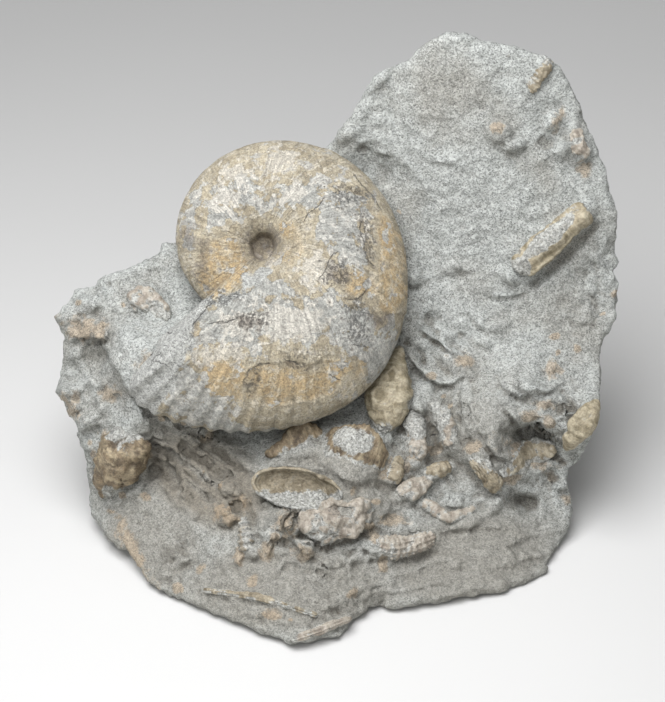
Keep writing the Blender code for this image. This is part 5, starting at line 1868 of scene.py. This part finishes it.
SMALL_SHELLS: tuple[SmallShell, ...] = (
    SmallShell(
        "tube_shell", ShellColour.OLIVE, ((516, 270, 1, 4, 2.6), (535, 254, 2.6, 5.2, 3.8),
        (560, 232, 3.2, 5.2, 4), (587, 208, 2.2, 4.2, 3.2)), bare=3.2, rings_apart=3, end_sharpness=12,
        rough=0.45, coats=((549, 237, 36, 10, 40), (520, 268, 14, 12, 0)),
        marks=((553, 252, 34, 4, 40, -1.2),),
    ),
    SmallShell(
        "oval_shell", ShellColour.OLIVE, ((566, 449, 3, 2.2, 2.4), (576, 434, 4.8, 4, 3.4),
        (587, 417, 4.8, 4.2, 3.4), (598, 400, 3, 2.6, 2.4)), bare=2.4, rings_apart=4, rough=0.3,
        end_sharpness=3, marks=((582, 425, 21, 7, 56, -0.9),),
    ),
    SmallShell(
        "bored_nodule", ShellColour.OLIVE, ((400, 346, 2, 1.4, 2.4), (394, 372, 5, 5.6, 5),
        (389, 400, 6.5, 8, 6.5), (384, 434, 4.5, 4.4, 4.4)), bare=4, ring_rise=0.1, end_sharpness=4,
        marks=((391.6, 374, 7, 8, 0, 0.7), (391.6, 374, 5, 6, 0, -2.2), (379.5, 395, 10, 13, 0, 0.6),
        (379.5, 394, 8, 10, 0, -1.8)),
    ),
    SmallShell(
        "round_clam", ShellColour.BROWN, ((325, 437, 2.4, 3, 2.6), (340, 447, 4, 8.6, 4.4),
        (358, 455, 4.6, 10.4, 5.4), (384, 465, 3, 6, 3.4)), bare=2, rings_apart=1.8, ring_rise=0.25,
        rough=0.4, coats=((354, 440, 24, 17, -10), (332, 474, 8, 6, 0)),
    ),
    SmallShell(
        "shell_wedge", ShellColour.BROWN, ((268, 456, 1.6, 1, 1.6), (288, 447, 3.2, 4.6, 3),
        (304, 440, 4, 6.4, 3.2), (322, 434, 3, 3.6, 2.6)), bare=1.6, rings_apart=2.4, end_sharpness=14,
    ),
    SmallShell(
        "left_clam", ShellColour.BROWN, ((101, 498, 1.6, 1.2, 1.6), (110, 480, 4.6, 5.6, 5),
        (121, 458, 6.6, 8.4, 6.4), (134, 432, 4, 6.6, 4)), bare=3.2, ribs=30, rib_rise=0.3, rings_apart=5,
        ring_rise=0.12, rough=0.6, end_sharpness=9, coats=((128, 430, 26, 12, 20), (108, 492, 9, 6, 0)),
        marks=((122, 483, 2, 10, 10, -1.6), (118, 428, 26, 5, 28, 1.2), (116, 443, 22, 3, 28, -1),
        (146, 468, 6, 14, 0, -1.4)),
    ),
    SmallShell(
        "whelk", ShellColour.CREAM, ((128, 290, 1.6, 2.6, 2.2), (143, 299, 3.2, 5, 3.6),
        (155, 309, 3, 4.6, 3.2), (168, 321, 1.2, 2, 1.8)), bare=1.9, rings_apart=3.6, ring_rise=0.14,
        rough=0.7, coats=((168, 322, 12, 12, 0), (128, 284, 8, 5, 0), (156, 306, 8, 6, 0)),
        marks=((138, 309, 11, 2.5, -40, -2), (150, 302, 3, 8, 20, -0.8)),
    ),
    SmallShell(
        "ribbed_shell", ShellColour.CREAM, ((374, 545, 2, 2.6, 2.2), (392, 548, 3, 3.6, 3.2),
        (412, 545, 2.8, 3.4, 2.8), (434, 537, 1.4, 2.2, 1.8)), bare=1.6, rings_apart=1.9, ring_rise=0.26,
        ribs=12, rib_rise=0.2, end_sharpness=12, rough=0.45,
    ),
    SmallShell(
        "long_spine", ShellColour.TAN, ((203, 590, 0.4, 1.1, 1.1), (233, 594, 0.6, 1.2, 1.2),
        (262, 598, 0.7, 1.2, 1.2), (290, 607, 0.5, 1, 1), (318, 616, 0.2, 0.8, 0.8)), bare=0.8, ribs=7,
        rib_rise=0.1, rings_apart=5, rough=0.2, end_sharpness=16,
    ),
    SmallShell(
        "lower_spine", ShellColour.CREAM, ((289, 641, 0.6, 1.2, 1.2), (310, 634, 0.9, 1.6, 1.6),
        (330, 626, 0.9, 1.6, 1.6), (351, 618, 0.5, 1.2, 1.2)), bare=1, ribs=9, rib_rise=0.12, rings_apart=5,
        rough=0.2,
    ),
    SmallShell(
        "finger_right", ShellColour.CREAM, ((434, 402, 2.4, 2.2, 2), (441, 414, 3.6, 3, 2.6),
        (447, 428, 4.6, 3.2, 2.8), (452, 445, 5, 2.6, 2.4)), bare=1.2, end_sharpness=12, rough=0.6,
        coats=((438, 410, 16, 22, 0),),
    ),
    SmallShell(
        "finger_left", ShellColour.CREAM, ((416, 410, 2, 2.6, 2.4), (417, 426, 4, 3.6, 3.2),
        (417, 442, 5, 3.8, 3.4), (415, 462, 5, 3.2, 3)), bare=1.3, end_sharpness=12, rough=0.6,
        coats=((418, 422, 16, 20, 0),), marks=((414, 455, 1.6, 7, 0, -1),),
    ),
    SmallShell(
        "short_stub", ShellColour.TAN, ((399, 458, 2, 2, 2), (395, 468, 3, 2.9, 2.6),
        (391, 480, 2.6, 2.2, 2)), bare=1.3, end_sharpness=14, rings_apart=1.4,
    ),
    SmallShell(
        "mottled_stub", ShellColour.TAN, ((421, 474, 1.6, 2.2, 2), (436, 471, 3, 2.9, 2.6),
        (451, 466, 1.8, 2.2, 2)), bare=1.3, end_sharpness=14, rough=0.35,
    ),
    SmallShell(
        "cream_pebble", ShellColour.CREAM, ((397, 496, 1.2, 2.2, 1.8), (409, 492, 2.6, 3.3, 2.6),
        (420, 485, 2.8, 3.2, 2.6), (431, 478, 1.4, 2.2, 1.8)), bare=1.4, end_sharpness=10,
    ),
    SmallShell(
        "fibrous_fossil", ShellColour.TAN, ((472, 456, 1.8, 2, 1.8), (481, 466, 3.2, 3, 2.6),
        (489, 477, 3.4, 3, 2.6), (498, 489, 2.2, 2, 1.8)), bare=1.8, ribs=16, rib_rise=0.22,
        end_sharpness=12,
    ),
    SmallShell(
        "flat_shell", ShellColour.TAN, ((500, 474, 0.4, 2.6, 1.4), (518, 462, 1, 4.6, 1.8),
        (536, 452, 1, 4.6, 1.8), (556, 444, 0.2, 2.8, 1.4)), bare=2.4, rings_apart=2, end_sharpness=8,
    ),
    SmallShell(
        "bent_tube", ShellColour.CREAM, ((423, 503, 1.4, 1.6, 1.6), (434, 508, 2.2, 2.2, 2),
        (447, 518, 2, 2, 2), (460, 515, 1.8, 2, 1.8), (474, 509, 1, 1.4, 1.4)), rough=0.35, end_sharpness=14,
    ),
    SmallShell(
        "top_rod", ShellColour.TAN, ((529, 91, 0.6, 1.9, 1.4), (540, 75, 1.2, 2.2, 1.7),
        (551, 59, 0.6, 1.9, 1.4)), bare=1.5, rings_apart=1.4, ring_rise=0.16, end_sharpness=14,
    ),
    SmallShell(
        "side_knob", ShellColour.CREAM, ((574, 128, 0.8, 2, 1.8), (578, 142, 2.6, 2.8, 2.6),
        (581, 158, 1.8, 2.4, 2.2)), bare=1.2, rough=0.6,
    ),
    SmallShell(
        "turret_shell", ShellColour.GREY, ((244, 518, 1.2, 1.2, 1.2), (245, 530, 2, 2, 1.9),
        (246, 543, 2.2, 2.5, 2.2), (247, 554, 1.2, 1.8, 1.6)), rings_apart=2.2, ring_rise=0.45, rough=0.15,
    ),
    SmallShell(
        "pitted_shell", ShellColour.CREAM, ((300, 516, 1.6, 2.4, 2), (322, 522, 3.6, 6.4, 4),
        (345, 518, 3.8, 6.6, 4), (374, 507, 1.8, 3, 2.4)), bare=2, rings_apart=4, ring_rise=0.1, rough=1,
        marks=((340, 511, 18, 8, 8, -4),),
    ),
)


@dataclass
class ShellBed:
    """All the small shells and broken pieces that lie in the front."""

    relief: FrontRelief
    rings: int = 64
    ring_points: int = 56
    materials: dict[ShellColour, Material] = field(default_factory=dict)

    def along(self, stations: Stations, share: float) -> list[float]:
        """Finds the place and size on a smooth line through stations.

        Args:
            stations: The stations.
            share: How much of the way along.

        Returns:
            The five numbers of a station.
        """
        reach = share * (len(stations) - 1)
        index = min(int(reach), len(stations) - 2)
        rest = reach - index
        before, beyond = stations[max(index - 1, 0)], stations[min(index + 2, len(stations) - 1)]
        values = []
        for a, b, c, d in zip(before, stations[index], stations[index + 1], beyond):
            curve = (c - a) * rest + (2 * a - 5 * b + 4 * c - d) * rest**2 + (3 * b - a - 3 * c + d) * rest**3
            values.append(b + 0.5 * curve)
        return values

    def body(self, shell: SmallShell) -> tuple[bmesh.types.BMesh, ndarray]:
        """Sweeps a piece's rounded body along its stations.

        Args:
            shell: The piece.

        Returns:
            The body, and for each of its points how far along, round and out it lies, in millimetres.
        """
        shares = [0.5 - 0.5 * cos(pi * ring / (self.rings - 1)) for ring in range(self.rings)]
        middles, sizes = [], []
        for share in shares:
            x, y, rise, half_width, half_height = self.along(shell.stations, share)
            closing = sqrt(max(1.0 - abs(2.0 * share - 1.0) ** shell.end_sharpness, 0.0025))
            middles.append(SIGHT.place(x, y, self.relief.lift(x, y) + rise))
            sizes.append((half_width * closing, half_height * closing))
        rings, places = [], []
        travelled = 0.0
        for index, (middle, (half_width, half_height)) in enumerate(zip(middles, sizes)):
            heading = (middles[min(index + 1, len(middles) - 1)] - middles[max(index - 1, 0)]).normalized()
            sideways = heading.cross(SIGHT.towards_eye).normalized()
            outward = sideways.cross(heading)
            travelled += (middle - middles[max(index - 1, 0)]).length
            closing = half_width / max(size[0] for size in sizes)
            ring = []
            for step in range(self.ring_points):
                turn = 2.0 * pi * step / self.ring_points
                swell = shell.ring_rise * cos(2.0 * pi * travelled / shell.rings_apart)
                swell = (swell + shell.rib_rise * cos(shell.ribs * turn)) * min(closing * 2.0, 1.0)
                across = sideways * cos(turn) * (half_width + swell)
                ring.append(middle + across + outward * sin(turn) * (half_height + swell))
                places.append((travelled, turn * half_width, half_width))
            rings.append(ring)
        return solid_of_rings(rings), np.array(places)

    def build(self, shell: SmallShell) -> Object:
        """Builds one piece, dresses it and puts it in the node's place.

        Args:
            shell: The piece.

        Returns:
            The piece.
        """
        body, places = self.body(shell)
        piece = new_object(shell.name + "_fossil", body)
        mesh = piece.data
        points, normals = points_of(mesh), normals_of(mesh)
        x, y, _ = SIGHT.picture_of(points)
        facing = np.clip(normals @ np.array(SIGHT.towards_eye) * 2.0, 0.0, 1.0)
        chips = pebbles(points + fractal(points, 3.0, 34, 2)[:, None], 3.6, 33) - 0.7
        wear = 2.2 * fractal(points, 7.0, 31, 3) + fractal(points, 2.6, 32, 4)
        move = shell.rough * (wear + 1.3 * chips - 0.2)
        points = points + normals * move[:, None]
        sunk = np.zeros(len(points))
        for mark in shell.marks:
            rise = mark[5] * facing * np.clip(1.0 - ellipse_distance(x, y, mark) ** 2, 0.0, 1.0)
            points = points + np.outer(rise, np.array(SIGHT.towards_eye))
            # Painted shade in the pits that the marks sink
            sunk = np.maximum(sunk, np.clip(-rise - 0.6, 0.0, 1.0))
        set_points(mesh, held_in(points, cad_box))
        paint(mesh, "along", places)
        # Painted shade in the hollows and the marks' pits
        paint(mesh, "hollow", hollowness(mesh, 10, 0.8) + sunk)
        above = SIGHT.picture_of(points)[2] - self.relief.front.at(x, y)
        coated = 1.6 * patch_share(x, y, shell.coats, 2.0)
        paint(mesh, "buried", np.clip(1.0 - above / shell.bare, 0.0, 1.0) + coated)
        self.dress(piece, shell.colour)
        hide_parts(shell.name)
        return piece

    def dress(self, piece: Object, colour: ShellColour) -> None:
        """Gives a piece its finish, made once for each colour.

        Args:
            piece: The piece.
            colour: Its colour.
        """
        if colour not in self.materials:
            self.materials[colour] = colour.value.make()
        piece.data.materials.append(self.materials[colour])


@dataclass
class OpenValve:
    """The open half shell: an oval bowl with a thin wall, hollow towards the eye."""

    bed: ShellBed
    middle: tuple[float, float] = (297.0, 489.0)
    half_length: float = 15.2
    half_width: float = 7.0
    turn: float = radians(-11.0)
    rise: float = 5.0
    depth: float = 5.6
    wall: float = 1.1
    stone_from: float = 488.0  # pixel row below which stone covers the floor
    # Pixel row above which the bowl's floor gets painted shade, the upper wall's shadow
    painted_shade_to: float = 494.0  # pixel row above which the floor is dark
    fade: float = 8.0
    septum: Line = ((319, 476), (324, 486), (327, 497))
    septum_rise: float = 2.4
    nod: float = 0.12
    sides: int = 120
    levels: int = 26

    def build(self) -> Object:
        """Builds the bowl with its growth lines and ragged rim, and puts it in the node's place.

        Returns:
            The bowl.
        """
        lengthwise = SIGHT.right * cos(self.turn) + SIGHT.up * sin(self.turn)
        crosswise = SIGHT.towards_eye.cross(lengthwise)
        outward = (SIGHT.towards_eye - SIGHT.up * self.nod).normalized()
        middle = SIGHT.place(*self.middle, self.bed.relief.lift(*self.middle) + self.rise)
        steps = [radians(86.0) * (1.0 - level / self.levels) for level in range(self.levels + 1)]
        profile = [(step, 0.0) for step in steps] + [(step, self.wall) for step in reversed(steps)]
        rings, places = [], []
        for step, wall in profile:
            growth = 0.12 * cos(40.0 * step)
            along = (self.half_length - wall + growth) * cos(step)
            across = (self.half_width - wall + growth) * cos(step)
            floor = middle - outward * ((self.depth - wall + growth) * sin(step))
            ring = []
            for side in range(self.sides):
                angle = 2.0 * pi * side / self.sides
                ring.append(floor + lengthwise * along * cos(angle) + crosswise * across * sin(angle))
                places.append((step * self.half_width, angle * across, wall))
            rings.append(ring)
        valve = new_object("open_valve_fossil", solid_of_rings(rings))
        mesh = valve.data
        points, normals = points_of(mesh), normals_of(mesh)
        points = points + normals * (0.4 * (fractal(points, 3.5, 41, 4) - 0.2))[:, None]
        x, y, height = SIGHT.picture_of(points)
        inner = np.array([place[2] > 0.0 for place in places])
        beside, _ = line_distance(x, y, self.septum)
        points += np.outer(inner * self.septum_rise * np.exp(-((beside / 2.2) ** 2)), np.array(outward))
        set_points(mesh, points)
        paint(mesh, "along", np.array(places))
        # Painted shade: darker the deeper the bowl's floor lies, in its upper part only
        sunken = np.clip((self.bed.relief.lift(*self.middle) + 2.0 - height) / 5.0, 0.0, 0.7)
        paint(mesh, "hollow", sunken * np.clip((self.painted_shade_to - y) / self.fade, 0.0, 1.0))
        paint(mesh, "buried", 0.9 * np.clip((y - self.stone_from) / self.fade, 0.0, 1.0))
        self.bed.dress(valve, ShellColour.TAN)
        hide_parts("open_valve")
        return valve


# The studio

@dataclass
class Studio:
    """A pale floor, soft light from above and the camera at the picture's angle."""

    floor_colour: str = "#cdccc8"
    floor_shade: str = "#c9c8c4"
    cloud: float = 167.0  # faint clouding of the paper, in millimetres
    tooth: float = 1.25  # its tooth
    floor_size: float = 6.0
    light_colour: str = "#f9faff"
    room_light: float = 1.0
    room_light_spread: float = radians(50.0)
    room_light_from: tuple[float, float, float] = (-0.2, -0.3, 1.0)
    surroundings: str = "#e9ebee"
    surroundings_light: float = 0.26
    sensor: float = 36.0

    def build_floor(self) -> Object:
        """Lays the floor under the block's base.

        Returns:
            The floor.
        """
        bm = bmesh.new()
        bmesh.ops.create_grid(bm, x_segments=8, y_segments=8, size=self.floor_size / 2 / MM)
        floor = new_object("studio_floor", bm)
        floor.location.z = -0.0002
        f = Finish("floor_paper_matt", 1.5)
        cloud = f.add("TexNoise", {"Vector": f.place, "Scale": 1 / self.cloud})
        tooth = f.add("TexNoise", {"Vector": f.place, "Scale": 1 / self.tooth})
        colour = f.coat(self.floor_colour, (cloud, self.floor_shade))
        floor.data.materials.append(f.close(colour, tooth, 0.02, 0.9))
        return floor

    def add_sun(self) -> None:
        """Lights the fossil and the whole floor evenly from above, with very soft shadows."""
        light = bpy.data.lights.new("even_room_light", "SUN")
        light.energy = self.room_light
        light.angle = self.room_light_spread
        light.color = linear(self.light_colour)[:3]
        obj = bpy.data.objects.new("even_room_light", light)
        obj.rotation_euler = Vector(self.room_light_from).to_track_quat("Z", "Y").to_euler()
        bpy.context.scene.collection.objects.link(obj)

    def add_light(self, name: str, place: Vector, size: float, power: float) -> None:
        """Hangs a square soft light that faces the fossil.

        Args:
            name: The light's name.
            place: Where it hangs, in metres.
            size: Length of its sides, in metres.
            power: Its power in watts.
        """
        light = bpy.data.lights.new(name, "AREA")
        light.shape = "SQUARE"
        light.size = size
        light.energy = power
        light.color = linear(self.light_colour)[:3]
        obj = bpy.data.objects.new(name, light)
        obj.location = place
        obj.rotation_euler = (place - Vector((0.0, 0.0, 0.07))).to_track_quat("Z", "Y").to_euler()
        bpy.context.scene.collection.objects.link(obj)

    def build(self) -> None:
        """Sets up the floor, the lights, the surroundings and the camera."""
        self.build_floor()
        self.add_light("overhead_soft_light", Vector((-0.08, -0.14, 0.45)), 0.34, 2.7)
        self.add_light("front_fill_light", Vector((-0.2, -1.0, 0.6)), 1.0, 4.2)
        self.add_sun()
        world = bpy.data.worlds.new("studio_room")
        world.use_nodes = True
        world.node_tree.nodes["Background"].inputs[0].default_value = linear(self.surroundings)
        world.node_tree.nodes["Background"].inputs[1].default_value = self.surroundings_light
        scene = bpy.context.scene
        scene.world = world
        scene.view_settings.view_transform = "Standard"
        camera = bpy.data.cameras.new("camera")
        camera.sensor_width = self.sensor
        camera.lens = self.sensor * SIGHT.eye_distance / (max(SIGHT.picture_size) * SIGHT.mm_per_pixel)
        camera.clip_start = 0.01
        obj = bpy.data.objects.new("camera", camera)
        obj.location = SIGHT.eye * MM
        obj.rotation_euler = Matrix((SIGHT.right, SIGHT.up, SIGHT.towards_eye)).transposed().to_euler()
        scene.collection.objects.link(obj)
        scene.camera = obj


def main() -> None:
    """Builds every piece, lets it ride on the fossil's one body and notes the sizes."""
    logging.basicConfig(level=logging.INFO, format="%(message)s")
    relief = FrontRelief(SMALL_SHELLS)
    bed = ShellBed(relief)
    pieces = [StoneBlock(relief).build(), Ammonite().build(), OpenValve(bed).build()]
    pieces += [bed.build(shell) for shell in SMALL_SHELLS]
    for piece in pieces:
        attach(piece, "root")
        LOG.info("%s: %d faces", piece.name, len(piece.data.polygons))
    Studio().build()


if __name__ == "__main__":
    main()
